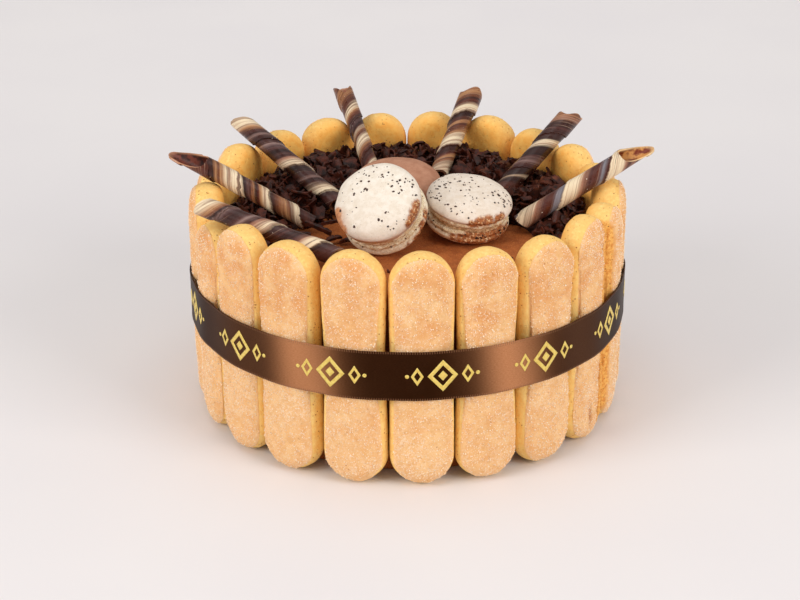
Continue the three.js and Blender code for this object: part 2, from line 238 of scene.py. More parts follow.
class Look:
    """A material of nodes round one Principled shader, with coordinates in mm."""

    def __init__(self, name, roughness=0.6, **inputs):
        self.material = bpy.data.materials.new(name)
        self.material.use_nodes = True
        self.tree = self.material.node_tree
        self.tree.nodes.clear()
        out = self.node("ShaderNodeOutputMaterial")
        self.shader = self.node("ShaderNodeBsdfPrincipled")
        self.tree.links.new(self.shader.outputs[0], out.inputs["Surface"])
        self.shader.inputs["Roughness"].default_value = roughness
        for k, v in inputs.items():
            self.shader.inputs[k.replace("_", " ")].default_value = v
        c = self.node("ShaderNodeTexCoord")
        m = self.node("ShaderNodeMapping")
        m.inputs["Scale"].default_value = (1000, 1000, 1000)
        self.link(c.outputs["Object"], m.inputs["Vector"])
        self.mm = m.outputs[0]

    def node(self, kind, **props):
        n = self.tree.nodes.new(kind)
        for k, v in props.items():
            setattr(n, k, v)
        return n

    def link(self, a, b):
        self.tree.links.new(a, b)
        return b

    def put(self, socket, value):
        if isinstance(value, bpy.types.NodeSocket):
            self.link(value, socket)
        else:
            socket.default_value = value

    def scaled(self, x, y, z, vector=None):
        m = self.node("ShaderNodeMapping")
        m.inputs["Scale"].default_value = (x, y, z)
        self.link(vector or self.mm, m.inputs["Vector"])
        return m.outputs[0]

    def noise(self, size, detail=2, rough=0.5, vector=None, distort=0.0):
        n = self.node("ShaderNodeTexNoise")
        n.inputs["Scale"].default_value = 1 / size
        n.inputs["Detail"].default_value = detail
        n.inputs["Roughness"].default_value = rough
        n.inputs["Distortion"].default_value = distort
        self.link(vector or self.mm, n.inputs["Vector"])
        return n.outputs["Fac"]

    def cells(self, size, vector=None, feature="F1", output="Distance"):
        n = self.node("ShaderNodeTexVoronoi", feature=feature)
        n.inputs["Scale"].default_value = 1 / size
        self.link(vector or self.mm, n.inputs["Vector"])
        return n.outputs[output]

    def attr(self, name):
        n = self.node("ShaderNodeAttribute", attribute_name=name)
        return n.outputs["Fac"]

    def ramp(self, fac, stops, mode="LINEAR"):
        n = self.node("ShaderNodeValToRGB")
        r = n.color_ramp
        r.interpolation = mode
        while len(r.elements) < len(stops):
            r.elements.new(0.5)
        for e, (x, c) in zip(r.elements, sorted(stops, key=lambda s: s[0])):
            e.position = x
            e.color = c if isinstance(c, tuple) else (c, c, c, 1)
        self.link(fac, n.inputs["Fac"])
        return n.outputs["Color"]

    def mask(self, fac, lo, hi):
        """0 below lo and 1 above hi, or the other way round when lo is above hi."""
        n = self.node("ShaderNodeMapRange", interpolation_type="SMOOTHSTEP")
        n.inputs["From Min"].default_value = lo
        n.inputs["From Max"].default_value = hi
        self.link(fac, n.inputs["Value"])
        return n.outputs["Result"]

    def math(self, op, a, b=0.5):
        n = self.node("ShaderNodeMath", operation=op)
        self.put(n.inputs[0], a)
        self.put(n.inputs[1], b)
        return n.outputs[0]

    def mix(self, fac, a, b, blend="MIX"):
        n = self.node("ShaderNodeMix", data_type="RGBA", blend_type=blend)
        self.put(n.inputs["Factor"], fac)
        self.put(n.inputs[6], a)
        self.put(n.inputs[7], b)
        return n.outputs[2]

    def bump(self, height, distance_mm, strength=1.0, normal=None):
        n = self.node("ShaderNodeBump")
        n.inputs["Strength"].default_value = strength
        n.inputs["Distance"].default_value = distance_mm / 1000
        self.link(height, n.inputs["Height"])
        if normal is not None:
            self.link(normal, n.inputs["Normal"])
        return n.outputs[0]

    def finish(self, colour=None, roughness=None, normal=None):
        if colour is not None:
            self.put(self.shader.inputs["Base Color"], colour)
        if roughness is not None:
            self.put(self.shader.inputs["Roughness"], roughness)
        if normal is not None:
            self.link(normal, self.shader.inputs["Normal"])
        return self.material


# ------------------------------------------------------------ camera and light
def camera():
    yaw, roll, pitch = np.radians(-0.38), np.radians(-0.41), np.radians(24.09)
    cy, sy, cp, sp = np.cos(yaw), np.sin(yaw), np.cos(pitch), np.sin(pitch)
    forward = np.array([sy * cp, cy * cp, -sp])
    right = np.array([cy, -sy, 0.0])
    up = np.cross(right, forward)
    r = np.cos(roll) * right + np.sin(roll) * up
    u = -np.sin(roll) * right + np.cos(roll) * up
    data = bpy.data.cameras.new("camera")
    data.lens = 36 * 1975.9 / 800
    data.clip_start, data.clip_end = 0.05, 30
    cam = bpy.data.objects.new("camera", data)
    bpy.context.scene.collection.objects.link(cam)
    m = Matrix([[r[i], u[i], -forward[i], c] for i, c in enumerate((0.0021, -0.9083, 0.4552))] + [[0, 0, 0, 1]])
    cam.matrix_world = m
    bpy.context.scene.camera = cam


def area(name, az, height, distance, size, power, aim=(0, 0, 0.06), colour=(1, 1, 1)):
    data = bpy.data.lights.new(name, "AREA")
    data.shape = "RECTANGLE"
    data.size, data.size_y = size
    data.energy = power
    data.color = colour
    ob = bpy.data.objects.new(name, data)
    bpy.context.scene.collection.objects.link(ob)
    a = math.radians(az)
    ob.location = (distance * math.sin(a), -distance * math.cos(a), height)
    d = Vector(aim) - ob.location
    ob.rotation_mode = "QUATERNION"
    ob.rotation_quaternion = d.to_track_quat("-Z", "Y")
    return ob


def studio():
    look = Look("pale_floor", roughness=0.75)
    n = look.noise(180, 2)
    look.finish(look.mix(look.mask(n, 0.3, 0.7), srgb(234, 229, 229), srgb(237, 232, 231)))
    me = bpy.data.meshes.new("floor")
    k = 96
    ring = [(9 * math.cos(2 * math.pi * i / k), 9 * math.sin(2 * math.pi * i / k), 0) for i in range(k)]
    me.from_pydata(ring, [], [list(range(k))])
    me.materials.append(look.material)
    floor = bpy.data.objects.new("floor", me)
    bpy.context.scene.collection.objects.link(floor)
    floor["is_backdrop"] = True
    world = bpy.data.worlds.new("studio")
    bpy.context.scene.world = world
    world.use_nodes = True
    bg = world.node_tree.nodes["Background"]
    bg.inputs["Color"].default_value = (0.96, 0.945, 0.94, 1)
    bg.inputs["Strength"].default_value = 0.40
    area("key_left", -56, 0.80, 1.5, (0.85, 0.85), 13.2)
    area("key_right", 52, 0.80, 1.5, (0.85, 0.85), 12.8)
    area("top", 0, 1.7, 0.05, (1.3, 1.3), 7.6, aim=(0, 0, 0))
    area("back", 180, 1.2, 0.95, (2.0, 0.7), 1.6, aim=(0, 0.95, 0)).data.spread = math.radians(80)
    bpy.context.scene.view_settings.view_transform = "Standard"
    bpy.context.scene.view_settings.look = "None"


# ---------------------------------------------------------------- ladyfingers
def finger_sides(k):
    az, length, shift, waist, lean = FINGERS[k]
    before = FINGERS[(k - 1) % len(FINGERS)][0]
    after = FINGERS[(k + 1) % len(FINGERS)][0]
    return math.radians(((az - before) % 360) / 2), math.radians(((after - az) % 360) / 2)


def finger_place(k, u, v, z):
    """A point of biscuit k: u across, v outwards from its middle, z up."""
    az, length, shift, waist, lean = FINGERS[k]
    a = math.radians(az)
    r = FINGER_RING_R + shift + lean * (z / FINGER_LENGTH - 0.5) + v
    return np.stack([r * math.sin(a) + u * math.cos(a), -r * math.cos(a) + u * math.sin(a), z], -1)


def finger_half(k, v, z, side):
    az, length, shift, waist, lean = FINGERS[k]
    left, right = finger_sides(k)
    r = FINGER_RING_R + shift + lean * (z / FINGER_LENGTH - 0.5) + v
    half = np.minimum(FINGER_HALF_WIDTH, r * np.where(side > 0, math.tan(right), math.tan(left)) - GAP / 2)
    return half - waist * np.exp(-((z - FINGER_LENGTH * 0.52) / 24) ** 2)


CRACKS = {  # biscuit: (u, z, u, z, depth, width) of each crack in its crust
    6: [(9.5, 106, 10.8, 76, 2.6, 1.5), (10.8, 80, 10.2, 70, 2.4, 1.3), (9.6, 70, 8.4, 42, 2.0, 1.1), (6.8, 46, 7.6, 20, 2.4, 1.3), (7.6, 24, 5.6, 6, 2.0, 1.1),
        (9.4, 98, 8.0, 88, 1.4, 0.8), (-3.5, 20, -2.2, 8, 0.8, 1.3), (2.0, 102, 3.4, 97, 0.8, 0.7)],
}


def biscuits():
    look = Look("ladyfinger_crust", roughness=0.82)
    crust, rim, back, tint, crack, torn = (look.attr(n) for n in ("crust", "rim", "back", "tint", "crack", "torn"))
    fine = look.noise(0.9, 3, 0.65)
    blotch = look.noise(10, 4, 0.6)
    base = look.mix(look.mask(look.noise(3.6, 3, 0.6), 0.35, 0.68), srgb(244, 196, 137), srgb(236, 179, 114))
    warm = look.math("MULTIPLY", look.mask(blotch, 0.34, 0.68), tint)
    base = look.mix(look.math("MULTIPLY", warm, 0.9), base, srgb(224, 150, 80))
    low_down = look.math("SUBTRACT", 1.0, look.math("MULTIPLY", tint, 0.55))
    dust = look.mask(look.noise(0.5, 2, 0.7), 0.52, 0.66)
    base = look.mix(look.math("MULTIPLY", look.math("MULTIPLY", dust, 0.46), low_down), base, srgb(255, 230, 196))
    frost = look.math("MULTIPLY", look.mask(look.noise(1.3, 3, 0.7), 0.48, 0.66), look.mask(look.noise(16, 3, 0.5), 0.36, 0.66))
    base = look.mix(look.math("MULTIPLY", look.math("MULTIPLY", frost, 0.60), low_down), base, srgb(255, 232, 204))
    pits = look.mask(look.cells(3.4), 0.16, 0.06)
    pits = look.math("MULTIPLY", pits, look.mask(look.noise(7, 2), 0.52, 0.62))
    base = look.mix(look.math("MULTIPLY", pits, 0.75), base, srgb(176, 98, 38))
    # paler line along the crust's lip: partly the lip's own paler tone, partly a painted highlight on the rounded ridge
    base = look.mix(look.math("MULTIPLY", rim, 0.6), base, srgb(252, 208, 150))
    side = look.mix(look.mask(look.noise(2.6, 3, 0.7), 0.35, 0.7), srgb(255, 219, 139), srgb(250, 199, 112))
    toasted = look.math("MULTIPLY", look.math("MULTIPLY", tint, tint), look.mask(look.noise(1.5, 3, 0.7), 0.30, 0.60))
    side = look.mix(look.math("MULTIPLY", toasted, 0.85), side, srgb(247, 194, 108))
    hole = look.mask(look.cells(1.9), 0.24, 0.10)
    side = look.mix(look.math("MULTIPLY", hole, look.mask(look.noise(3.3, 2), 0.44, 0.58)), side, srgb(180, 106, 42))
    inner = look.mix(look.mask(look.noise(3.2, 3, 0.6), 0.3, 0.7), srgb(255, 193, 96), srgb(252, 175, 74))
    hole2 = look.mask(look.cells(2.6), 0.2, 0.08)
    inner = look.mix(look.math("MULTIPLY", hole2, look.mask(look.noise(5, 2), 0.5, 0.6)), inner, srgb(160, 90, 34))
    colour = look.mix(back, side, inner)
    colour = look.mix(crust, colour, base)
    crumb = look.mix(look.mask(look.noise(1.5, 3, 0.75), 0.38, 0.62), srgb(250, 190, 98), srgb(224, 142, 56))
    crumb = look.mix(look.mask(look.cells(2.1), 0.22, 0.08), crumb, srgb(146, 76, 24))
    colour = look.mix(torn, colour, crumb)
    colour = look.mix(look.math("MULTIPLY", crack, 0.9), colour, srgb(176, 98, 30))
    height = look.math("ADD", look.math("MULTIPLY", fine, 0.7), look.math("MULTIPLY", look.noise(0.35, 1), 0.3))
    height = look.math("SUBTRACT", height, look.math("MULTIPLY", hole, 0.7))
    material = look.finish(colour, None, look.bump(height, 0.5, 0.7))

    plates = []
    for k in range(len(FINGERS)):
        az, length, shift, waist, lean = FINGERS[k]
        thick = (FINGER_THICK - 0.4 * cad_hash(k + 3)) / FINGER_THICK
        dense = 2 if k in CRACKS else 1
        arc, side = 22 * dense, 46 * dense
        R = FINGER_END_R
        # outline: bottom arc from left to right, right side, top arc, left side
        kinds = []
        for i in range(arc):
            kinds.append((0, math.pi + math.pi * i / arc))
        for i in range(side):
            kinds.append((1, i / side))
        for i in range(arc):
            kinds.append((2, math.pi * i / arc))
        for i in range(side):
            kinds.append((3, i / side))
        kind = np.array([a for a, _ in kinds])
        t = np.array([b for _, b in kinds])
        # profile: inset from the outline, radial offset, crust, rim, back
        flat = [15.5, 13.4, 11.3, 9.3, 7.5, 6.0, 4.8, 3.9, 3.2, 2.65, 2.2]
        if dense == 2:
            flat = [15.5, 14.6, 13.7, 12.8, 11.9, 11, 10.2, 9.4, 8.6, 7.8, 7.0, 6.3, 5.6, 5.0, 4.4, 3.9, 3.4, 3.0, 2.6, 2.2]
        crown = lambda d: 8.75 * (1 - 0.42 * ((15.5 - d) / 14) ** 4)
        rows = [(d, crown(d), 1, float(smooth(-d, -3.6, -2.2)) * 0.5, 0) for d in flat]
        rows += [(1.85, 5.42, 1, 0.8, 0), (1.6, 5.12, 1, 1, 0), (1.44, 4.86, 1, 0.7, 0), (1.5, 4.6, 0.3, 0, 0), (1.28, 4.3, 0, 0, 0),
                 (0.85, 3.4, 0, 0, 0), (0.42, 2.2, 0, 0, 0), (0.12, 0.9, 0, 0, 0), (0, -0.6, 0, 0, 0), (0.12, -2.4, 0, 0, 0.1),
                 (0.6, -4.4, 0, 0, 0.3), (1.5, -6.1, 0, 0, 0.6), (2.9, -7.5, 0, 0, 0.9), (4.9, -8.35, 0, 0, 1),
                 (7.5, -8.75, 0, 0, 1), (10.5, -8.8, 0, 0, 1), (13.2, -8.8, 0, 0, 1), (15.5, -8.8, 0, 0, 1)]
        n, m = len(rows), len(kind)
        d0 = np.array([r[0] for r in rows])[:, None]
        v = np.array([r[1] for r in rows])[:, None] * thick + np.zeros((1, m))
        lip = np.exp(-((np.arange(n)[:, None] - (len(flat) + 1.5)) / 2.2) ** 2)
        z_out = np.where(kind == 0, R + R * np.sin(t), np.where(kind == 1, R + (length - 2 * R) * t, np.where(kind == 2, length - R + R * np.sin(t), length - R - (length - 2 * R) * t)))
        u_out = np.where(kind == 0, 15 * np.cos(t), np.where(kind == 1, 15.0, np.where(kind == 2, 15 * np.cos(t), -15.0)))
        place = np.stack([u_out + 40 * k, z_out, 0 * z_out], -1)
        wob = 0.42 * noise(place, 6.5, 3) + 0.28 * noise(place, 2.2, 4) + (0.5 * noise(place, 1.3, 5) if k == 6 else 0)
        d = d0 + lip * (wob + 2.5 * waist * np.exp(-((z_out - 64) / 27) ** 2) * ((kind == 1) | (kind == 3)))[None, :]
        d = np.clip(d, 0, 15.5)
        squeeze = np.clip(R - d * (R / 15.5), 0, None)
        z = np.where(kind == 0, R + squeeze * np.sin(t), np.where(kind == 1, R + (length - 2 * R) * t, np.where(kind == 2, length - R + squeeze * np.sin(t), length - R - (length - 2 * R) * t)))
        sign = np.where(kind == 1, 1, np.where(kind == 3, -1, np.sign(np.cos(t))))[None, :] + 0 * z
        half = finger_half(k, v, z, sign)
        across = np.where((kind == 0) | (kind == 2), np.cos(t), np.where(kind == 1, 1.0, -1.0))[None, :]
        u = across * half * (1 - d / 15.5)
        co = finger_place(k, u, v, z).reshape(-1, 3)
        masks = {nme: (np.array([r[c] for r in rows], float)[:, None] + np.zeros((1, m))).ravel() for nme, c in (("crust", 2), ("rim", 3), ("back", 4))}
        masks["u"], masks["zz"] = u.ravel(), z.ravel()
        faces = [grid(n, m, True)]
        co, faces, masks = weld(co, faces, masks)
        nrm = normals(co, faces)
        out = unit(co - np.array([0, 0, 55]))
        if (nrm * np.stack([co[:, 0], co[:, 1], 0 * co[:, 0]], -1)).sum(1)[masks["crust"] > 0.9].mean() < 0:
            faces = [f[:, ::-1] for f in faces]
            nrm = -nrm
        local = np.stack([masks["u"] + 40 * k, masks["zz"], (co[:, 0] + co[:, 1]) * 0.7], -1)
        cr = masks["crust"]
        push = 0.32 * noise(local, 13, 11) + 0.20 * noise(local, 5, 12) + 0.12 * noise(local, 2.2, 13)
        push = push * (0.35 + 0.65 * np.maximum(cr, masks["back"])) - 0.12
        pits = np.clip(noise(local, 1.9, 14) - 0.55, 0, 1) * (1 - cr) * 1.2
        push = push - pits
        low = smooth(-masks["zz"], -9, -1)
        push = push + low * 0.35 * noise(local, 2.6, 15)
        crack = np.zeros(len(co))
        torn = np.zeros(len(co))
        ragged = 1.6 * fbm(local, 5, 3, 18)
        if k == 6:  # the crust has come away along this side
            torn = smooth(masks["u"] + ragged, 4.0, 5.0) * smooth(masks["zz"], 4, 9) * (cr > 0.2)
        if k == 7:
            torn = smooth(-masks["u"] + ragged, 8.8, 9.8) * smooth(masks["zz"], 4, 9)
        if k in (6, 7):
            push = push - torn * (0.55 + 0.75 * fbm(local, 1.6, 2, 19))
        for (u0, z0, u1, z1, deep, wide) in CRACKS.get(k, []):
            s = np.clip(((masks["u"] - u0) * (u1 - u0) + (masks["zz"] - z0) * (z1 - z0)) / ((u1 - u0) ** 2 + (z1 - z0) ** 2), 0, 1)
            dist = np.hypot(masks["u"] - (u0 + s * (u1 - u0)) + 0.5 * noise(local, 4, 16), masks["zz"] - (z0 + s * (z1 - z0)))
            w = np.exp(-(dist / wide) ** 2) * (np.sin(math.pi * np.clip(s, 0.02, 0.98)) ** 0.4) * (cr > 0.5)
            crack = np.maximum(crack, w)
            push = push - deep * w
        co = co + nrm * push[:, None]
        co[:, 2] = np.maximum(co[:, 2], 0)
        zz = masks["zz"]
        tint = 0.35 + 0.65 * smooth(zz, 60, 95) + 0.25 * noise(local, 20, 17)
        masks = {"crust": masks["crust"], "rim": masks["rim"], "back": masks["back"], "tint": np.clip(tint, 0, 1), "crack": crack, "torn": torn}
        make(f"biscuit_{k + 1:02d}", co, faces, material, masks, replaces=[f"ladyfinger_{k + 1:02d}"])
        plates.append((co, faces, masks, local))
    return plates


def sugar(plates):
    """Sugar crystals as small four-sided grains, seated in the crusts."""
    base = np.array([[1, 1, 1], [1, -1, -1], [-1, 1, -1], [-1, -1, 1]], float) * 0.75
    tri = np.array([[0, 1, 2], [0, 3, 1], [0, 2, 3], [1, 3, 2]])
    all_co, all_f, first = [], [], 0
    for k, (co, faces, masks, local) in enumerate(plates):
        quads = [f for f in faces if f.shape[1] == 4]
        f = np.concatenate(quads)
        f = f[(masks["crust"][f].min(1) > 0.5) & (masks["torn"][f].max(1) < 0.3)]
        a = co[f]
        size = np.linalg.norm(np.cross(a[:, 2] - a[:, 0], a[:, 3] - a[:, 1]), axis=1) / 2
        count = 2350
        pick = rng.choice(len(f), count * 2, p=size / size.sum())
        s, t = rng.random(count * 2)[:, None], rng.random(count * 2)[:, None]
        q = a[pick]
        p = q[:, 0] * (1 - s) * (1 - t) + q[:, 1] * s * (1 - t) + q[:, 2] * s * t + q[:, 3] * (1 - s) * t
        n = unit(np.cross(q[:, 2] - q[:, 0], q[:, 3] - q[:, 1]))
        keep = rng.random(count * 2) < 0.5 + 0.35 * noise(p, 7, 21)
        p, n = p[keep][:count], n[keep][:count]
        m = len(p)
        r = np.exp(rng.normal(-1.48, 0.30, m)).clip(0.12, 0.42)
        rot = unit(rng.normal(size=(m, 3)))
        ref = unit(np.cross(rot, rng.normal(size=(m, 3))))
        third = np.cross(rot, ref)
        shape = base[None] * rng.uniform(0.75, 1.3, (m, 4, 1))
        pts = shape[..., 0:1] * rot[:, None] + shape[..., 1:2] * ref[:, None] + shape[..., 2:3] * third[:, None]
        pts = pts * r[:, None, None] + (p + n * (r * 0.35)[:, None])[:, None]
        pts[..., 2] = np.maximum(pts[..., 2], 0.02)
        all_co.append(pts.reshape(-1, 3))
        all_f.append((tri[None] + (np.arange(m) * 4)[:, None, None]).reshape(-1, 3) + first)
        first += m * 4
    look = Look("sugar", roughness=0.6, IOR=1.45)
    colour = look.mix(look.mask(look.noise(2.0, 2), 0.35, 0.65), srgb(255, 236, 210), srgb(252, 220, 184))
    make("sugar_crystals", np.concatenate(all_co), [np.concatenate(all_f)], look.finish(colour), smooth_faces=False)


# -------------------------------------------------------------------- cocoa top
def cocoa_top():
    look = Look("cocoa_powder", roughness=0.95)
    base = look.mix(look.mask(look.noise(7, 4, 0.65), 0.3, 0.7), srgb(186, 102, 42), srgb(158, 80, 26))
    base = look.mix(look.mask(look.noise(0.7, 3, 0.7), 0.52, 0.72), base, srgb(208, 130, 64))
    base = look.mix(look.mask(look.cells(2.2), 0.14, 0.05), base, srgb(88, 46, 28))
    height = look.math("ADD", look.noise(0.8, 4, 0.75), look.math("MULTIPLY", look.noise(2.6, 2), 0.6))
    material = look.finish(base, None, look.bump(height, 0.7, 0.8))
    m = 200
    rr = np.concatenate([np.linspace(0.0, 86.4, 58), [87.2, 87.8]])
    az = np.arange(m) * 360 / m
    top = polar(az[None, :], rr[:, None] + 0 * az[None, :], CORE_TOP + 0 * rr[:, None])
    z = 0.35 * fbm(top, 14, 3, 41) + 0.3 * fbm(top, 3.2, 2, 42)
    edge = smooth(-rr, -87.8, -86.6)[:, None]
    top[..., 2] = CORE_TOP - 0.35 + z * edge - (1 - edge) * 1.0
    wall = np.stack([polar(az, 87.8, h) for h in (88, 70, 45, 20, 1.2)])
    under = np.stack([polar(az, r, 0.0) for r in (86.6, 40.0, 0.0)])
    co = np.concatenate([top, wall, under]).reshape(-1, 3)
    co, faces, _ = weld(co, [grid(len(rr) + 8, m, True)[:, ::-1]], {})
    if normals(co, faces)[co[:, 2] > 91][:, 2].mean() < 0:
        faces = [f[:, ::-1] for f in faces]
    make("cocoa_cream_cake", co, faces, material, replaces=["cake_core"])


# --------------------------------------------------------------------- macarons
def macaron_axes(m):
    a, e = math.radians(m["az"]), math.radians(m["el"])
    axis = np.array([math.sin(a) * math.cos(e), -math.cos(a) * math.cos(e), math.sin(e)])
    e1 = unit(np.cross(axis, [0, 0, 1.0]))
    e2 = np.cross(axis, e1)
    return axis, e1, e2


def macaron_point(m, rho, theta, y):
    axis, e1, e2 = macaron_axes(m)
    rho, theta, y = np.broadcast_arrays(rho, theta, y)
    return np.array(m["at"]) + rho[..., None] * (np.cos(theta)[..., None] * e1 + np.sin(theta)[..., None] * e2) + y[..., None] * axis


PATCHES = {  # worn patches: centre, reach
    ("left", 1): [((4.9, -46.4, 119.2), 2.0), ((4.2, -47.7, 117.8), 2.9), ((3.2, -49.4, 115.8), 3.2), ((2.2, -50.8, 113.6), 2.8), ((1.0, -51.9, 111.6), 2.4), ((-32.9, -40.2, 112.6), 2.6), ((-32.6, -41.3, 110.1), 3.6), ((-31.4, -43.4, 107.8), 3.6), ((-29.8, -45.6, 105.7), 3.4)],
    ("left", -1): [((7.5, -40.9, 105.6), 3.8), ((4.1, -43.0, 100.4), 3.0), ((8.5, -37.5, 110.0), 3.2), ((6.4, -42.2, 102.8), 2.8), ((0.3, -45.7, 98.0), 1.6)],
    ("right", 1): [((30.6, -38.6, 105.4), 2.4), ((34.2, -38.0, 106.1), 3.2), ((38.4, -36.4, 106.4), 3.3), ((42.6, -33.8, 106.3), 2.6), ((45.2, -31.2, 106.8), 2.0)],
    ("right", -1): [((21.5, -36.3, 97.6), 2.6), ((25.5, -36.3, 97.0), 3.6), ((29.9, -36.1, 97.4), 4.6), ((34.5, -35.2, 97.8), 5.0), ((40.0, -32.0, 97.6), 5.0), ((44.5, -28.5, 97.4), 4.4), ((48.1, -23.2, 96.8), 3.2)],
}


def macarons():
    pale = Look("macaron_pale", roughness=0.62)
    foot, patch, warm = pale.attr("foot"), pale.attr("patch"), pale.attr("warm")
    c = pale.mix(pale.mask(pale.noise(3.4, 4, 0.65), 0.36, 0.66), srgb(242, 231, 216), srgb(231, 217, 198))
    c = pale.mix(pale.mask(pale.noise(0.8, 2, 0.6), 0.60, 0.78), c, srgb(205, 188, 166))
    c = pale.mix(pale.math("MULTIPLY", warm, 0.9), c, pale.mix(pale.mask(pale.noise(1.6, 3, 0.7), 0.4, 0.6), srgb(214, 142, 82), srgb(186, 108, 54)))
    c = pale.mix(foot, c, pale.mix(pale.mask(pale.noise(1.3, 3, 0.7), 0.38, 0.62), srgb(252, 238, 206), srgb(224, 196, 150)))
    pores = pale.math("MULTIPLY", foot, pale.mask(pale.cells(1.0), 0.30, 0.14))
    c = pale.mix(pale.math("MULTIPLY", pores, 0.8), c, srgb(166, 126, 82))
    worn = pale.mix(pale.mask(pale.noise(1.5, 3, 0.7), 0.35, 0.65), srgb(192, 116, 58), srgb(138, 74, 32))
    worn = pale.mix(pale.mask(pale.noise(1.1, 2, 0.6), 0.54, 0.64), worn, srgb(236, 198, 148))
    c = pale.mix(patch, c, worn)
    h = pale.math("ADD", pale.math("MULTIPLY", pale.noise(0.6, 3, 0.7), pale.math("ADD", pale.math("ADD", patch, foot), 0.3)), pale.math("MULTIPLY", pale.noise(2.2, 3), 0.5))
    pale_mat = pale.finish(c, None, pale.bump(h, 0.45, 0.7))

    brown = Look("macaron_cocoa", roughness=0.7)
    foot = brown.attr("foot")
    c = brown.mix(brown.mask(brown.noise(5, 3, 0.6), 0.3, 0.7), srgb(190, 136, 106), srgb(172, 116, 86))
    c = brown.mix(brown.mask(brown.noise(0.9, 3, 0.7), 0.55, 0.75), c, srgb(158, 98, 72))
    c = brown.mix(foot, c, srgb(158, 100, 70))
    brown_mat = brown.finish(c, None, brown.bump(brown.noise(0.8, 3, 0.7), 0.4, 0.6))

    cream = Look("macaron_cream", roughness=0.55)
    c = cream.mix(cream.mask(cream.noise(1.6, 3, 0.7), 0.4, 0.6), srgb(238, 213, 168), srgb(176, 141, 101))
    cream_mat = cream.finish(c, None, cream.bump(cream.noise(0.9, 3), 0.3, 0.6))
    ganache = Look("macaron_ganache", roughness=0.5)
    c = ganache.mix(ganache.mask(ganache.noise(1.6, 3, 0.7), 0.4, 0.6), srgb(106, 62, 42), srgb(78, 44, 30))
    ganache_mat = ganache.finish(c, None, ganache.bump(ganache.noise(0.9, 3), 0.3, 0.6))

    seg = 144
    theta = np.arange(seg) * 2 * math.pi / seg
    for index, (name, m) in enumerate(MACARONS.items()):
        r, half, dome = m["r"], m["half"], m["dome"]
        lo = 0.95 if name != "left" else 0.7
        for way in (1, -1):
            prof = [(0.0, lo, 0, 0), (r * 0.5, lo, 0, 0), (r - 3.4, lo, 1, 0), (r - 2.3, lo + 0.15, 1, 0.5), (r - 1.6, lo + 0.55, 1, 1), (r - 1.25, lo + 1.0, 1, 1),
                    (r - 1.1, lo + 1.45, 1, 1), (r - 1.1, lo + 1.9, 1, 1), (r - 1.2, lo + 2.3, 1, 0.9), (r - 1.25, min(half - 0.75, lo + 2.7), 1, 0.6)]
            y0 = prof[-1][1]
            prof += [(r - 0.95, y0 + 0.25, 0.55, 0.2), (r - 0.45, y0 + 0.42, 0.1, 0), (r - 0.12, half - 0.18, 0, 0)]
            for i in range(0, 21):
                t = i / 20 * math.pi / 2
                prof.append((r * max(0.0, math.cos(t)) ** 0.8, half + dome * math.sin(t), 0, 0))
            prof[-1] = (0.0, half + dome, 0, 0)
            p = np.array(prof)
            n = len(p)
            ang = np.broadcast_to(theta[None, :], (n, seg))
            around = np.stack([np.cos(ang) * 20, np.sin(ang) * 20, p[:, 1:2] * 1.6 + 60 * index + 25 * way + 0 * ang], -1)
            ruffle = (0.45 * noise(around, 2.1, 51) + 0.42 * noise(around, 1.1, 52) + 0.35) * p[:, 3:4]
            lip = 0.35 * noise(around, 6, 53) * smooth(p[:, 0:1], r * 0.6, r)
            rho = np.maximum(0, p[:, 0:1] + ruffle + lip * (1 - p[:, 2:3])) * (p[:, 0:1] > 0)
            y = p[:, 1:2] + 0.22 * noise(np.stack([rho * np.cos(ang), rho * np.sin(ang), 9.0 * index + 0 * ang], -1), 8, 54) * (1 - p[:, 2:3]) * smooth(p[:, 1:2], half, half + 1.5)
            co = macaron_point(m, rho, ang, way * y).reshape(-1, 3)
            masks = {"foot": (p[:, 2:3] + 0 * ang).ravel(), "ax": (p[:, 0:1] + 0 * ang).ravel()}
            co, faces, masks = weld(co, [grid(n, seg, True)], masks)
            nrm = normals(co, faces)
            axis = macaron_axes(m)[0]
            far = ((co - np.array(m["at"])) @ axis) * way > half + dome * 0.5
            if (nrm[far] @ axis * way).mean() < 0:
                faces = [f[:, ::-1] for f in faces]
                nrm = -nrm
            worn = np.zeros(len(co))
            for (at, reach) in PATCHES.get((name, way), []):
                dist = np.linalg.norm(co - np.array(at), axis=1) + 1.0 * fbm(co, 3.0, 3, 55)
                worn = np.maximum(worn, smooth(-dist, -reach * 1.12, -reach * 0.72))
            warm = 0.45 * smooth(-np.linalg.norm(co - np.array([-32.0, -42.5, 108.5]), axis=1) + 1.2 * fbm(co, 4, 2, 57), -9, -3) * (name == "left") * (way == 1)
            if name == "left" and way == 1:  # the pale left rim is only warm, not worn through
                left_rim = co[:, 0] < -22
                warm = np.maximum(warm, worn * left_rim)
                worn = worn * ~left_rim
            if name == "right":
                warm = np.maximum(warm, 0.10)
            pit = worn * (0.35 + 0.45 * np.clip(fbm(co, 1.6, 2, 56), -1, 1))
            co = co - nrm * pit[:, None]
            beige = masks["foot"]
            if name != "cocoa" and way == -1:  # these shells are bare of glaze on the side that shows
                beige = np.maximum(beige, 0.7 * smooth(-np.abs((co - np.array(m["at"])) @ axis), -10.5, -8.0))
            masks = {"foot": beige * (1 - worn * 0.5), "patch": worn, "warm": warm}
            part = "upper" if way == 1 else "lower"
            make(f"macaron_{name}_{part}_baked", co, faces, brown_mat if name == "cocoa" else pale_mat, masks,
                 replaces=[f"macaron_{name}_{part}_shell"])
        rf = r - 2.2
        prof = [(0.0, -FILLING_HALF), (rf * 0.6, -FILLING_HALF), (rf - 0.9, -FILLING_HALF), (rf - 0.3, -FILLING_HALF * 0.8), (rf, -FILLING_HALF * 0.35), (rf + 0.05, 0.0),
                (rf, FILLING_HALF * 0.35), (rf - 0.3, FILLING_HALF * 0.8), (rf - 0.9, FILLING_HALF), (rf * 0.6, FILLING_HALF), (0.0, FILLING_HALF)]
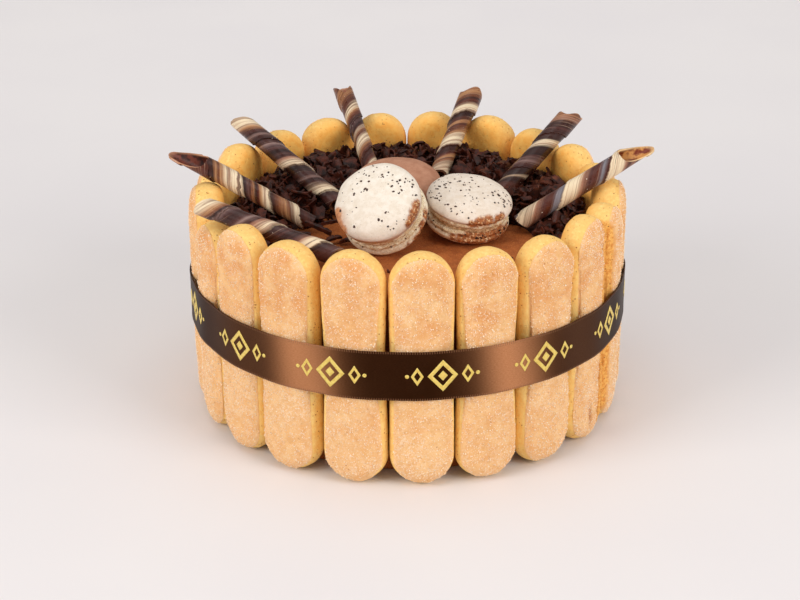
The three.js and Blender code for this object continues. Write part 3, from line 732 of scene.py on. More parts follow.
        p = np.array(prof)
        ang = np.broadcast_to(theta[None, :], (len(p), seg))
        around = np.stack([np.cos(ang) * 20, np.sin(ang) * 20, p[:, 1:2] + 60 * index + 0 * ang], -1)
        rho = np.maximum(0, p[:, 0:1] + (0.5 * noise(around, 2.8, 58) + 0.3 * noise(around, 1.2, 59)) * smooth(p[:, 0:1], rf * 0.7, rf - 0.5)) * (p[:, 0:1] > 0)
        co = macaron_point(m, rho, ang, p[:, 1:2]).reshape(-1, 3)
        co, faces, _ = weld(co, [grid(len(p), seg, True)], {})
        if ((normals(co, faces)) * (co - np.array(m["at"]))).sum(1).mean() < 0:
            faces = [f[:, ::-1] for f in faces]
        make(f"macaron_{name}_cream", co, faces, ganache_mat if name == "cocoa" else cream_mat, replaces=[f"macaron_{name}_filling"])


def dome_height(m, rho):
    """Height of the dome's skin over the rim plane, for a distance from the axis."""
    c = np.clip(rho / m["r"], 0, 0.999) ** (1 / 0.8)
    return m["half"] + m["dome"] * np.sqrt(1 - c * c)


def specks():
    """Cocoa specks: thin flakes lying on the pale shells."""
    look = Look("cocoa_specks", roughness=0.7)
    colour = look.mix(look.mask(look.noise(1.2, 2), 0.4, 0.6), srgb(42, 26, 21), srgb(84, 52, 37))
    material = look.finish(colour, None, look.bump(look.noise(0.4, 2), 0.1, 0.5))
    all_co, all_f, first = [], [], 0

    def flake(m, x, y, size, way=1):
        nonlocal first
        axis, e1, e2 = macaron_axes(m)
        rho = math.hypot(x, y)
        if rho > m["r"] * 0.965:
            return
        at = lambda u, v: np.array(m["at"]) + u * e1 + v * e2 + way * axis * (dome_height(m, np.hypot(u, v)))
        p = at(x, y)
        du, dv = at(x + 0.2, y) - p, at(x, y + 0.2) - p
        nrm = unit(np.cross(du, dv)) * way
        if nrm @ axis * way < 0:
            nrm = -nrm
        t1 = unit(du - nrm * (du @ nrm))
        t2 = np.cross(nrm, t1)
        k = 7
        turn = rng.random() * 6.28
        rr = size * rng.uniform(0.55, 1.15, k) * np.array([1.0] * k)
        squash = rng.uniform(0.5, 1.0)
        rim = np.stack([np.cos(np.arange(k) * 2 * math.pi / k) * rr, np.sin(np.arange(k) * 2 * math.pi / k) * rr * squash], 1)
        rim = rim @ np.array([[math.cos(turn), math.sin(turn)], [-math.sin(turn), math.cos(turn)]])
        low = p + rim[:, :1] * t1 + rim[:, 1:] * t2 - nrm * 0.25
        high = p + 0.8 * (rim[:, :1] * t1 + rim[:, 1:] * t2) + nrm * 0.13
        co = np.concatenate([low, high, [p + nrm * 0.17]])
        f = [[i, (i + 1) % k, k + (i + 1) % k] for i in range(k)] + [[i, k + (i + 1) % k, k + i] for i in range(k)] + [[k + i, k + (i + 1) % k, 2 * k] for i in range(k)]
        f += [[0, i + 1, i] for i in range(1, k - 1)]
        all_co.append(co)
        all_f.append(np.array(f) + first)
        first += len(co)

    def rim_flake(m, theta, y, size):
        nonlocal first
        axis, e1, e2 = macaron_axes(m)
        nrm = math.cos(theta) * e1 + math.sin(theta) * e2
        side = np.cross(nrm, axis)
        p = np.array(m["at"]) + (m["r"] - 0.62) * nrm + y * axis
        k = 7
        ang = np.arange(k) * 2 * math.pi / k
        rr = size * rng.uniform(0.6, 1.15, k)
        rim = np.stack([np.cos(ang) * rr, np.sin(ang) * rr], 1)
        flat = rim[:, :1] * side + rim[:, 1:] * axis
        co = np.concatenate([p + flat - nrm * 0.55, p + 0.8 * flat + nrm * 0.08, [p + nrm * 0.12]])
        f = [[i, (i + 1) % k, k + (i + 1) % k] for i in range(k)] + [[i, k + (i + 1) % k, k + i] for i in range(k)] + [[k + i, k + (i + 1) % k, 2 * k] for i in range(k)]
        f += [[0, i + 1, i] for i in range(1, k - 1)]
        all_co.append(co)
        all_f.append(np.array(f) + first)
        first += len(co)

    def local(m, point):
        axis, e1, e2 = macaron_axes(m)
        d = np.array(point) - np.array(m["at"])
        return d @ e1, d @ e2

    m = MACARONS["left"]
    for at, n, spread, size in [((-19.7, -39.5, 123.2), 8, 0.9, 0.5), ((-10.7, -34.6, 129.3), 5, 1.6, 0.62), ((-24.7, -39.4, 120.9), 2, 0.8, 0.62), ((-6.0, -37.5, 127.0), 5, 2.6, 0.5), ((-2.0, -40.5, 122.5), 4, 2.4, 0.5), ((-8, -50, 113), 6, 2.6, 0.55), ((-16, -28, 132), 6, 3.5, 0.5), ((2.5, -36.0, 124.0), 5, 2.0, 0.6), ((-18.0, -36.0, 126.0), 3, 3.0, 0.7)]:
        x, y = local(m, at)
        for _ in range(n):
            flake(m, x + rng.normal(0, spread), y + rng.normal(0, spread), size * rng.uniform(0.8, 1.9))
    for _ in range(34):
        a, q = rng.random() * 6.283, math.sqrt(rng.random()) * 19.5
        flake(m, q * math.cos(a), q * math.sin(a), 0.30 + 0.85 * rng.random() ** 2.0)
    m = MACARONS["right"]
    for at, n, spread, size in [((46.0, -20.0, 108.0), 34, 3.0, 0.5), ((15.5, -16.0, 112.5), 18, 3.2, 0.55), ((24.0, -8.0, 113.8), 12, 4.0, 0.5), ((21.5, -34.6, 111.5), 4, 1.8, 0.6), ((30.0, -30.0, 112.0), 8, 6.0, 0.42), ((12.0, -27.0, 109.0), 8, 3, 0.5)]:
        x, y = local(m, at)
        for _ in range(n):
            flake(m, x + rng.normal(0, spread), y + rng.normal(0, spread), size * rng.uniform(0.6, 1.8))
    for _ in range(56):
        a, q = rng.random() * 6.283, math.sqrt(rng.random()) * 19.8
        flake(m, q * math.cos(a), q * math.sin(a), 0.26 + 0.60 * rng.random() ** 2.2)
    for _ in range(74):
        a, q = rng.random() * 6.283, 15 + 4.5 * rng.random()
        flake(m, q * math.cos(a), q * math.sin(a), 0.26 + 0.55 * rng.random() ** 2, -1)
    for _ in range(58):
        rim_flake(MACARONS["right"], rng.random() * 2 * math.pi, -rng.uniform(1.6, 4.4), rng.uniform(0.25, 0.62))
    for _ in range(26):
        rim_flake(MACARONS["left"], rng.random() * 2 * math.pi, -rng.uniform(1.6, 5.2), rng.uniform(0.22, 0.5))
    make("macaron_specks", np.concatenate(all_co), [np.concatenate(all_f)], material, smooth_faces=False)


# ------------------------------------------------------------------- cigarillos
# colours of the marbling
K, G, L, P, RB, B, T, TP, C, BG = (srgb(*c) for c in (
    (52, 25, 19), (98, 72, 70), (150, 122, 114), (84, 48, 42), (98, 48, 32), (126, 74, 46), (186, 136, 92), (172, 124, 98), (236, 216, 182), (128, 124, 130)))
# a roll is wound from a strip: "seams" are the places along the roll where its
# ragged edge shows on the side to the front, and "bands" the colours along that
# same line, in mm from the base
MARBLE = [
    dict(seam=4.4, pitch=17.0, bands=[(-6, K), (4, RB), (4.8, C), (8, C), (10, RB), (13, T), (16, B), (20.6, K), (21.6, C), (24, C), (25.5, T), (27, RB), (29, K), (30.5, T), (32, B), (33.5, G), (36, K), (37, C), (38, C), (38.7, RB), (39.6, C), (45, C), (48, T), (49.5, RB), (51.5, T), (53, K), (58, RB), (64, B)],
         inner=((112, 52, 36), (52, 26, 22)), rim=(196, 140, 104)),
    dict(seam=9.6, pitch=24.9, bands=[(-6, K), (3, P), (8.8, K), (9.7, C), (13.5, C), (17, P), (20, K), (22, P), (23, L), (24.5, P), (29, K), (34.2, K), (34.8, C), (38, C), (40, TP), (43, P), (48, K), (50, P), (52.5, G), (55, L), (56.5, P), (60, K), (62, P), (64, L), (65, K), (69, P), (71.5, T), (76, C), (84, C)],
         inner=((150, 110, 84), (90, 56, 44)), rim=(236, 218, 186)),
    dict(seam=22.0, pitch=28.0, bands=[(-6, K), (2, B), (6, C), (12, C), (15, RB), (21.6, K), (22.4, RB), (25, B), (27.5, T), (29.5, C), (35, C), (37, RB), (40, T), (41.5, C), (43, RB), (46, K), (49.6, G), (50.4, K), (53, RB), (56, B), (58, T), (60.5, C), (63, C), (65, RB), (70, B), (76, T), (84, B)],
         inner=((150, 76, 50), (84, 36, 26)), rim=(214, 166, 130)),
    dict(seam=20.5, pitch=27.0, bands=[(-6, RB), (0, C), (6, C), (9, B), (12, T), (14, RB), (20, K), (21, RB), (23.5, C), (30, C), (32, T), (35, B), (38, RB), (40, T), (42, RB), (44, K), (47.2, K), (47.8, RB), (49, C), (53, C), (54.5, RB), (57, RB), (58.5, K), (60, B), (64, T), (70, B)],
         inner=((150, 96, 66), (90, 52, 38)), rim=(206, 160, 122)),
    dict(seam=17.2, pitch=29.0, bands=[(-6, B), (2, RB), (6, K), (9, K), (10.4, C), (12, K), (17, K), (17.5, P), (21, P), (24, L), (26, P), (28, K), (35, K), (38, C), (40.5, C), (42, K), (51, P), (56, K), (59, TP), (64, T), (70, TP)],
         inner=((214, 128, 66), (120, 62, 36)), rim=(222, 172, 128)),
    dict(seam=23.0, pitch=26.4, bands=[(-6, P), (-4.2, BG), (-3.2, C), (5, C), (8, TP), (12, P), (17, RB), (18.5, BG), (22.8, BG), (23.2, C), (31, C), (34, TP), (38, P), (43, RB), (44.2, BG), (47, BG), (47.8, P), (49.2, RB), (49.6, C), (57, C), (60, TP), (63, P), (65, TP), (68, P), (74, C)],
         inner=((214, 150, 84), (120, 48, 26)), rim=(236, 200, 146)),
    dict(seam=11.2, pitch=23.0, bands=[(-6, K), (4, P), (10.8, K), (11.4, C), (15.5, C), (18, TP), (21, P), (25, K), (28, P), (33.9, K), (34.5, C), (37, C), (41, TP), (44, P), (47, L), (48.5, P), (52, K), (54, P), (56, G), (57, L), (58.5, K), (61, B), (63, T), (66, C), (80, C)],
         inner=((170, 128, 92), (96, 62, 46)), rim=(238, 222, 180)),
]


def cigarillos():
    cam = np.array([2.1, -908.3, 455.2])
    for k, roll in enumerate(ROLLS):
        a, b = np.array(roll["a"], float), np.array(roll["b"], float)
        axis = b - a
        L_axis = np.linalg.norm(axis)
        axis /= L_axis
        e1 = cam - (a + b) / 2
        e1 = unit(e1 - axis * (e1 @ axis))
        e2 = np.cross(axis, e1)
        lng = np.array(roll["long"], float)
        lng = unit(lng - axis * (lng @ axis))
        marble = MARBLE[k]
        hand = roll["hand"]
        seam, pitch = marble["seam"], marble["pitch"]
        m0 = math.floor((-12 - seam) / pitch) - 1
        m1 = math.ceil((L_axis + 14 - seam) / pitch) + 1
        to_ramp = lambda x: ((x - seam) / pitch - (m0 - 1)) / (m1 - m0 + 2)

        look = Look(f"marbled_roll_{k + 1}", roughness=0.36, Specular_IOR_Level=0.36)
        front, rear, behind = look.attr("front"), look.attr("rear"), look.attr("behind")
        phase, turn, inside, rim = look.attr("phase"), look.attr("turn"), look.attr("inside"), look.attr("rim")
        vec = look.node("ShaderNodeCombineXYZ")
        look.link(look.math("MULTIPLY", phase, float(pitch)), vec.inputs[0])
        look.link(turn, vec.inputs[1])
        vec.inputs[2].default_value = 13.7 * k
        warp = look.noise(4.5, 2, 0.5, look.scaled(1, 0.20, 1, vec.outputs[0]))
        streak = look.noise(1.1, 3, 0.6, look.scaled(1, 0.05, 1, vec.outputs[0]))
        # the seam itself isn't blurred: the warp fades out next to it
        away = look.math("MULTIPLY", look.mask(phase, 0.0, 0.10), look.mask(phase, 1.0, 0.90))
        shift = look.math("ADD", look.math("MULTIPLY", look.math("SUBTRACT", warp, 0.5), 0.20), look.math("MULTIPLY", look.math("SUBTRACT", streak, 0.5), 0.07))
        shift = look.math("MULTIPLY", look.math("MULTIPLY", shift, away), 1.0 / (m1 - m0 + 2))
        stops = [(float(to_ramp(x)), c) for x, c in marble["bands"]]
        c = look.mix(behind, look.ramp(look.math("ADD", front, shift), stops), look.ramp(look.math("ADD", rear, shift), stops))
        grain = look.mask(look.noise(0.75, 3, 0.65, look.scaled(1, 0.03, 1, vec.outputs[0])), 0.47, 0.60)
        c = look.mix(look.math("MULTIPLY", grain, 0.34 if k in (1, 5, 6) else 0.55), c, srgb(176, 122, 104), "MULTIPLY")
        broad = look.mask(look.noise(2.6, 2, 0.6, look.scaled(1, 0.06, 1, vec.outputs[0])), 0.48, 0.60)
        c = look.mix(look.math("MULTIPLY", broad, 0.35 if k == 5 else 0.6), c, srgb(140, 92, 76), "MULTIPLY")
        dark_line = look.mask(look.noise(0.9, 2, 0.5, look.scaled(1, 0.035, 1, vec.outputs[0])), 0.60, 0.74)
        c = look.mix(look.math("MULTIPLY", dark_line, 0.8), c, srgb(80, 48, 40))
        pale_line = look.mask(look.noise(0.8, 2, 0.5, look.scaled(1.1, 0.03, 1, vec.outputs[0])), 0.36, 0.27)
        c = look.mix(look.math("MULTIPLY", pale_line, 0.65), c, srgb(186, 154, 130))
        fleck = look.math("MULTIPLY", look.mask(look.cells(2.9), 0.12, 0.05), look.mask(look.noise(4, 2), 0.55, 0.62))
        c = look.mix(fleck, c, srgb(230, 214, 196))
        ins = look.mix(look.mask(look.noise(2.6, 2), 0.38, 0.66), srgb(*marble["inner"][0]), srgb(*marble["inner"][1]))
        c = look.mix(inside, c, ins)
        c = look.mix(rim, c, srgb(*marble["rim"]))
        rough = look.math("ADD", look.math("MULTIPLY", look.mask(look.noise(3, 2), 0.3, 0.8), 0.26), 0.24)
        h = look.noise(0.7, 2, 0.6, look.scaled(1, 0.06, 1, vec.outputs[0]))
        material = look.finish(c, rough, look.bump(h, 0.12, 0.5))

        cols, per = 80, 30
        th = (np.arange(cols + 1) / cols - 0.5) * 2 * math.pi
        rows = [(m, 0.003 + 0.994 * i / per) for m in range(m0, m1) for i in range(per + 1)]
        m = np.array([r[0] for r in rows], float)[:, None]
        ph = np.array([r[1] for r in rows])[:, None]
        x0 = seam + pitch * (m + hand * th[None, :] / (2 * math.pi))
        x1 = x0 + pitch
        x = x0 + ph * pitch
        swirl = lambda xs, f: np.stack([xs, f * np.cos(th)[None, :] + 0 * xs, f * np.sin(th)[None, :] + 0 * xs], -1)
        jag = lambda xs: 0.95 * fbm(swirl(xs, 5) + 30 * k, 4.5, 2, 61) + 0.95 * fbm(swirl(xs, 5) + 30 * k, 1.3, 2, 66)
        x = x + np.exp(-(ph / 0.10) ** 2) * jag(x0) + np.exp(-((1 - ph) / 0.10) ** 2) * jag(x1)
        side = lambda rad: rad * (np.cos(th) * (e1 @ lng) + np.sin(th) * (e2 @ lng))[None, :]
        chip = (0.30 * noise(np.stack([6 * np.cos(th), 6 * np.sin(th), 9.0 * k + 0 * th], -1), 1.6, 62) + 0.4 * noise(np.stack([6 * np.cos(th), 6 * np.sin(th), 9.0 * k + 4 + 0 * th], -1), 4, 65))[None, :]
        lo = side(roll["ra"]) * 0.5 + 0 * x
        hi = L_axis + side(roll["rb"]) * roll["slant"] + chip + 0 * x
        turned = lambda at: np.angle(np.exp(1j * (th - at)))
        if k in (0, 5):  # cut to a point
            c_side = np.clip(side(1.0) / np.abs(side(1.0)).max(), -1, 1)
            hi = L_axis + (2 * ((1 + c_side) / 2) ** 1.8 - 1) * roll["rb"] * roll["slant"] * np.abs(side(1.0)).max() + chip + 0 * x
        if k == 2:  # a deep notch in the tip, on the side to the front
            hi = hi + 3.0 + (2.4 * np.exp(-(turned(math.pi) / 0.95) ** 2) - 3.0 * np.exp(-(turned(1.5) / 0.62) ** 2) + 1.3 * np.exp(-(turned(-1.5) / 0.45) ** 2) - 7.5 * np.exp(-(turned(0.15) / 0.62) ** 2))[None, :]
        if k == 3:
            hi = hi + 1.1 * np.sin(3 * th + 0.6)[None, :] + 1.4 * np.exp(-(turned(-1.3) / 0.25) ** 2)[None, :]
        if k == 4:
            hi = hi + 0.9 * np.sin(4 * th)[None, :]
        P, M = ph + 0 * x, m + 0 * x
        for limit, past in ((lo, x < lo), (hi, x > hi)):
            at_cut = (limit - seam) / pitch - hand * th[None, :] / (2 * math.pi)
            P = np.where(past, at_cut - np.floor(at_cut), P)
            M = np.where(past, np.floor(at_cut), M)
        x = np.clip(x, lo, hi)
        flare = {2: 0.12, 3: 0.24, 4: 0.14}.get(k, 0.0)  # the strip springs open a little at some tips
        grow = lambda xx: (roll["ra"] + (roll["rb"] - roll["ra"]) * np.clip(xx / L_axis, 0, 1.1)) * (1 + flare * smooth(xx, L_axis - 38, L_axis + 2))
        rise = 0.62 * (1 - P) ** 1.5 - 0.42 + 0.10 * noise(swirl(x, 6), 6, 63)
        spread = lambda xx, rr: a + xx[..., None] * axis + rr[..., None] * (np.cos(th)[None, :, None] * e1 + np.sin(th)[None, :, None] * e2)
        outer = spread(x, grow(x) + rise)
        n = len(rows)
        turns = (th[None, :] + 2 * math.pi * hand * M) * 4.8
        steps = np.concatenate([np.linspace(0, 0.5, 3, endpoint=False), np.linspace(0.5, 1, 14)])[:, None]
        ni = len(steps)
        wall = 0.75 + (ROLL_WALL - 0.75) * (1 - steps)
        xin = lo[:1] + (hi[:1] - lo[:1]) * steps
        inner = spread(xin, grow(xin) - wall - 0.25 + 0.15 * noise(swirl(xin, 6), 5, 64))
        # a second turn of the strip shows inside the tip, as a ledge on the inner wall
        edge_o = spread(hi[:1] + 0.05, grow(hi[:1]) - 0.42)
        co = np.concatenate([outer.reshape(-1, 3), inner.reshape(-1, 3), edge_o.reshape(-1, 3)])
        w = cols + 1
        end = n * w
        last_in, rim_at = end + (ni - 1) * w, end + ni * w
        j = np.arange(cols)
        faces = [grid(n, w), grid(ni, w, first=end)[:, ::-1]]
        faces.append(np.stack([(n - 1) * w + j, (n - 1) * w + j + 1, rim_at + j + 1, rim_at + j], 1))
        faces.append(np.stack([rim_at + j, rim_at + j + 1, last_in + j + 1, last_in + j], 1))
        faces.append(np.stack([j, j + 1, end + j + 1, end + j], 1)[:, ::-1])
        depth = (hi[:1] - xin)
        # the bands run on round the back, where they meet the next turn's
        main = (M + P - (m0 - 1)) / (m1 - m0 + 2)
        other = main + np.where(th[None, :] < 0, -hand, 0) / (m1 - m0 + 2)
        meet = smooth(-th, 1.75, 2.6)[None, :] + 0 * x
        meet = np.where(th[None, :] > math.pi - 0.01, 1.0, np.where(th[None, :] > 0, smooth(th, 1.75, 2.6)[None, :] + 0 * x, meet))
        tail = (ni + 1) * w
        masks = {"front": np.concatenate([main.ravel(), np.full(tail, 0.5)]),
                 "rear": np.concatenate([other.ravel(), np.full(tail, 0.5)]),
                 "behind": np.concatenate([meet.ravel(), np.zeros(tail)]),
                 "phase": np.concatenate([P.ravel(), np.full(tail, 0.5)]),
                 "turn": np.concatenate([turns.ravel(), np.zeros(tail)]),
                 "inside": np.concatenate([np.zeros(n * w), np.ones(tail)]),
                 "rim": np.concatenate([np.zeros(n * w), np.where(depth < 0.3, 0.6, 0.0).ravel(), np.ones(w)])}
        co, faces, masks = weld(co, faces, masks)
        nrm = normals(co, faces)
        radial = co - a - ((co - a) @ axis)[:, None] * axis
        sel = (np.abs((co - a) @ axis - L_axis / 2) < L_axis / 3) & (masks["inside"] < 0.5)
        if (nrm[sel] * radial[sel]).sum(1).mean() < 0:
            faces = [f[:, ::-1] for f in faces]
        ob = make(f"chocolate_roll_{k + 1}", co, faces, material, masks, replaces=[f"cigarillo_{k + 1}"])
        ob.data.set_sharp_from_angle(angle=math.radians(42))


# --------------------------------------------------------------------- shavings
def heap_inner(az):
    t = (az - HEAP_START) / (HEAP_END - HEAP_START)
    ends = np.clip(np.minimum(t, 1 - t) * 9, 0, 1)
    w = np.array([cad_wave(x / 25, 3) for x in np.ravel(az)]).reshape(np.shape(az))
    return 40 + 8 * w - 7 * np.exp(-(((az - 180) / 40) ** 2)) + 7 * np.exp(-(((az - 283) / 17) ** 2)) + (1 - ends) * 24, ends


def clear_of_things(p, size):
    """True where a bit of that size at p touches no roll and no macaron."""
    ok = np.ones(len(p), bool)
    for roll in ROLLS:
        a, b = np.array(roll["a"], float), np.array(roll["b"], float)
        d = b - a
        t = np.clip(((p - a) @ d) / (d @ d), -0.12, 1.1)
        gap = np.linalg.norm(p - (a + t[:, None] * d), axis=1) - max(roll["ra"], roll["rb"])
        ok &= gap > size * 0.62
    for m in MACARONS.values():
        axis, e1, e2 = macaron_axes(m)
        q = p - np.array(m["at"])
        y = np.abs(q @ axis)
        rho = np.hypot(q @ e1, q @ e2)
        ok &= (y > m["half"] + m["dome"] * np.sqrt(np.clip(1 - (rho / m["r"]) ** 2, 0, 1)) * 0.9 + size * 0.55) | (rho > m["r"] + size * 0.6)
    return ok


def random_frames(n, flat=0.0):
    x = unit(rng.normal(size=(n, 3)) * np.array([1, 1, 1 - flat]))
    y = unit(np.cross(x, rng.normal(size=(n, 3)) + np.array([0, 0, 2.5 * flat])))
    return x, y, np.cross(x, y)


def curls(centres, radius, arc, width, thick, pitch, segs, frames):
    """Curled strips: a box section swept round a helix, with ragged edges and tapered ends."""
    n = len(centres)
    t = np.linspace(0, 1, segs + 1)[None, :]
    ang = (t - 0.5) * arc[:, None]
    rad = radius[:, None] * (1 + 0.18 * (t - 0.5) * rng.uniform(-1, 1, (n, 1)))
    taper = 1 - 0.55 * np.abs(2 * t - 1) ** 3 * rng.uniform(0.2, 1, (n, 1))
    w = width[:, None] * taper
    up = w / 2 * (1 + 0.22 * rng.uniform(-1, 1, (n, segs + 1)))
    dn = -w / 2 * (1 + 0.22 * rng.uniform(-1, 1, (n, segs + 1)))
    th = thick[:, None] * (0.75 + 0.25 * taper) * rng.uniform(0.8, 1.2, (n, segs + 1))
    shift = pitch[:, None] * (t - 0.5)
    x, y, z = frames
    c, s = np.cos(ang), np.sin(ang)
    centre = (radius * np.sin(arc / 2) / (arc / 2))[:, None]

    def at(r, h):
        return (r * c - centre)[..., None] * x[:, None] + (r * s)[..., None] * y[:, None] + (h + shift)[..., None] * z[:, None]
    ring = np.stack([at(rad - th / 2, dn), at(rad + th / 2, dn), at(rad + th / 2, up), at(rad - th / 2, up)], 2)
    co = centres[:, None, None] + ring
    i = np.arange(segs)[:, None]
    j = np.arange(4)[None, :]
    k = (j + 1) % 4
    f = np.stack([i * 4 + j, i * 4 + k, (i + 1) * 4 + k, (i + 1) * 4 + j], -1).reshape(-1, 4)
    caps = np.array([[3, 2, 1, 0], [segs * 4, segs * 4 + 1, segs * 4 + 2, segs * 4 + 3]])
    f = np.concatenate([f, caps])
    per = (segs + 1) * 4
    faces = (f[None] + (np.arange(n) * per)[:, None, None]).reshape(-1, 4)
    return co.reshape(-1, 3), faces


def heap_spots(n, inner_pull=1.0, lift=(0.0, 1.0), size=6.0, az=(HEAP_START, HEAP_END)):
    out = np.zeros((0, 3))
    sizes = np.zeros(0)
    while len(out) < n:
        a = rng.uniform(az[0], az[1], n * 2)
        inner, ends = heap_inner(a)
        s = rng.random(n * 2) ** inner_pull
        r = np.sqrt(inner ** 2 + ((88.5 - 0.5 * size) ** 2 - inner ** 2) * s)
        bulge = np.sin(math.pi * (0.12 + 0.78 * s))
        top = 1.0 + ends * (1.6 + 5.4 * bulge + 2.6 * noise(polar(a, r, 0 * r), 13, 71) + 0.8)
        z = CORE_TOP + 0.8 + np.clip(top, 0.6, None) * rng.uniform(lift[0], lift[1], n * 2)
        p = polar(a, r, z)
        sz = size * rng.uniform(0.7, 1.2, n * 2)
        ok = clear_of_things(p, sz) & (rng.random(n * 2) < 0.25 + 0.75 * ends)
        out = np.concatenate([out, p[ok]])
        sizes = np.concatenate([sizes, sz[ok]])
    return out[:n], sizes[:n]


FEATURES = [  # larger pieces: one end, other end, width, thickness, bow in radians
    ((-49.0, -21.5, 98.2), (-36.5, -24.8, 97.6), 2.6, 1.9, 0.2), ((-45.0, -13.0, 97.6), (-33.5, -19.0, 97.2), 2.2, 1.7, 0.25),
    ((-33.0, -29.5, 94.2), (-25.8, -31.5, 94.2), 2.4, 1.6, 0.5), ((-39.0, -30.5, 94.4), (-31.5, -26.5, 94.8), 3.0, 1.2, 0.9),
    ((-56.0, -25.5, 97.0), (-47.0, -29.5, 96.0), 2.6, 1.4, 0.6), ((70.0, -7.0, 99.5), (82.0, 5.0, 101.5), 5.5, 1.2, 0.9),
    ((62.0, -24.5, 96.4), (72.0, -16.0, 98.0), 5.0, 1.1, 1.3), ((66.0, -13.5, 98.5), (76.5, -9.0, 99.5), 4.0, 1.1, 1.1),
]


